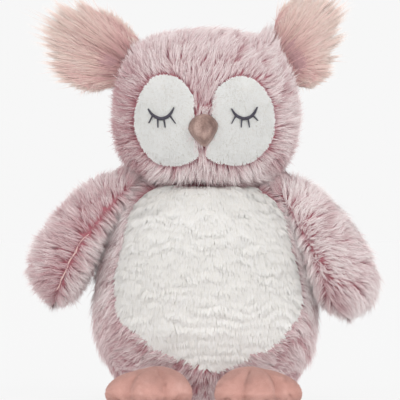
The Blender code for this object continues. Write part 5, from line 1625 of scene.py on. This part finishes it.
# ------------------------------------------------------------------ camera, floor and light
def flat(name, colour, glow):
    k = Nodes(name, 1.0, specular=0.0)
    k.colour(k.ramp(k.noise(3.0, 2.0), [(0.0, colour), (1.0, colour)]))
    k.b.inputs["Emission Color"].default_value = (1.0, 1.0, 1.0, 1.0)
    k.b.inputs["Emission Strength"].default_value = glow
    return k.m


mesh = bpy.data.meshes.new("floor")
bm = bmesh.new()
bmesh.ops.create_circle(bm, cap_ends=True, radius=9.0, segments=96)
bmesh.ops.translate(bm, verts=bm.verts[:], vec=(0, 0, -0.0004))
bm.to_mesh(mesh)
bm.free()
floor = bpy.data.objects.new("floor", mesh)
scene.collection.objects.link(floor)
mesh.materials.append(flat("floor_paper", "#484848", 0.855))

CAM_D = 2.4
cam = bpy.data.cameras.new("camera")
cam.sensor_width = 36.0
cam.lens = 36.0 * CAM_D / 0.260
camera = bpy.data.objects.new("camera", cam)
scene.collection.objects.link(camera)
camera.location = world(np.array([-3.9, 0.0, 129.4])) + np.array([0, -CAM_D, 0])
camera.rotation_euler = (radians(90), 0, 0)
cam.clip_start, cam.clip_end = 0.01, 50
scene.camera = camera


for name, energy, angle, at in (("key", 0.94, 40, (0.9, -0.75, 0.6)), ("front", 1.33, 60, (-0.05, -1.0, 0.12)),
                                ("left", 0.76, 50, (-0.9, -0.5, 0.4)), ("gloss", 0.20, 6, (0.12, -1.0, 0.30)), ("back", 1.2, 60, (0.1, 0.8, 0.9))):
    sun = bpy.data.lights.new(name, "SUN")
    sun.energy = energy
    sun.angle = radians(angle)
    ob = bpy.data.objects.new(name, sun)
    scene.collection.objects.link(ob)
    ob.rotation_euler = (Vector((0, 0, 0)) - Vector(at)).to_track_quat("-Z", "Y").to_euler()

w = bpy.data.worlds.new("studio")
scene.world = w
w.use_nodes = True
bg = w.node_tree.nodes["Background"]
bg.inputs["Color"].default_value = (1, 1, 1, 1)
bg.inputs["Strength"].default_value = 0.61
shown = w.node_tree.nodes.new("ShaderNodeBackground")
shown.inputs["Color"].default_value = srgb("#F7F7F7")
path = w.node_tree.nodes.new("ShaderNodeLightPath")
mixer = w.node_tree.nodes.new("ShaderNodeMixShader")
w.node_tree.links.new(path.outputs["Is Camera Ray"], mixer.inputs[0])
w.node_tree.links.new(bg.outputs[0], mixer.inputs[1])
w.node_tree.links.new(shown.outputs[0], mixer.inputs[2])
w.node_tree.links.new(mixer.outputs[0], w.node_tree.nodes["World Output"].inputs[0])

scene.view_settings.view_transform = "Standard"
scene.view_settings.look = "None"
scene.view_settings.exposure = 0.0
scene.view_settings.gamma = 1.0
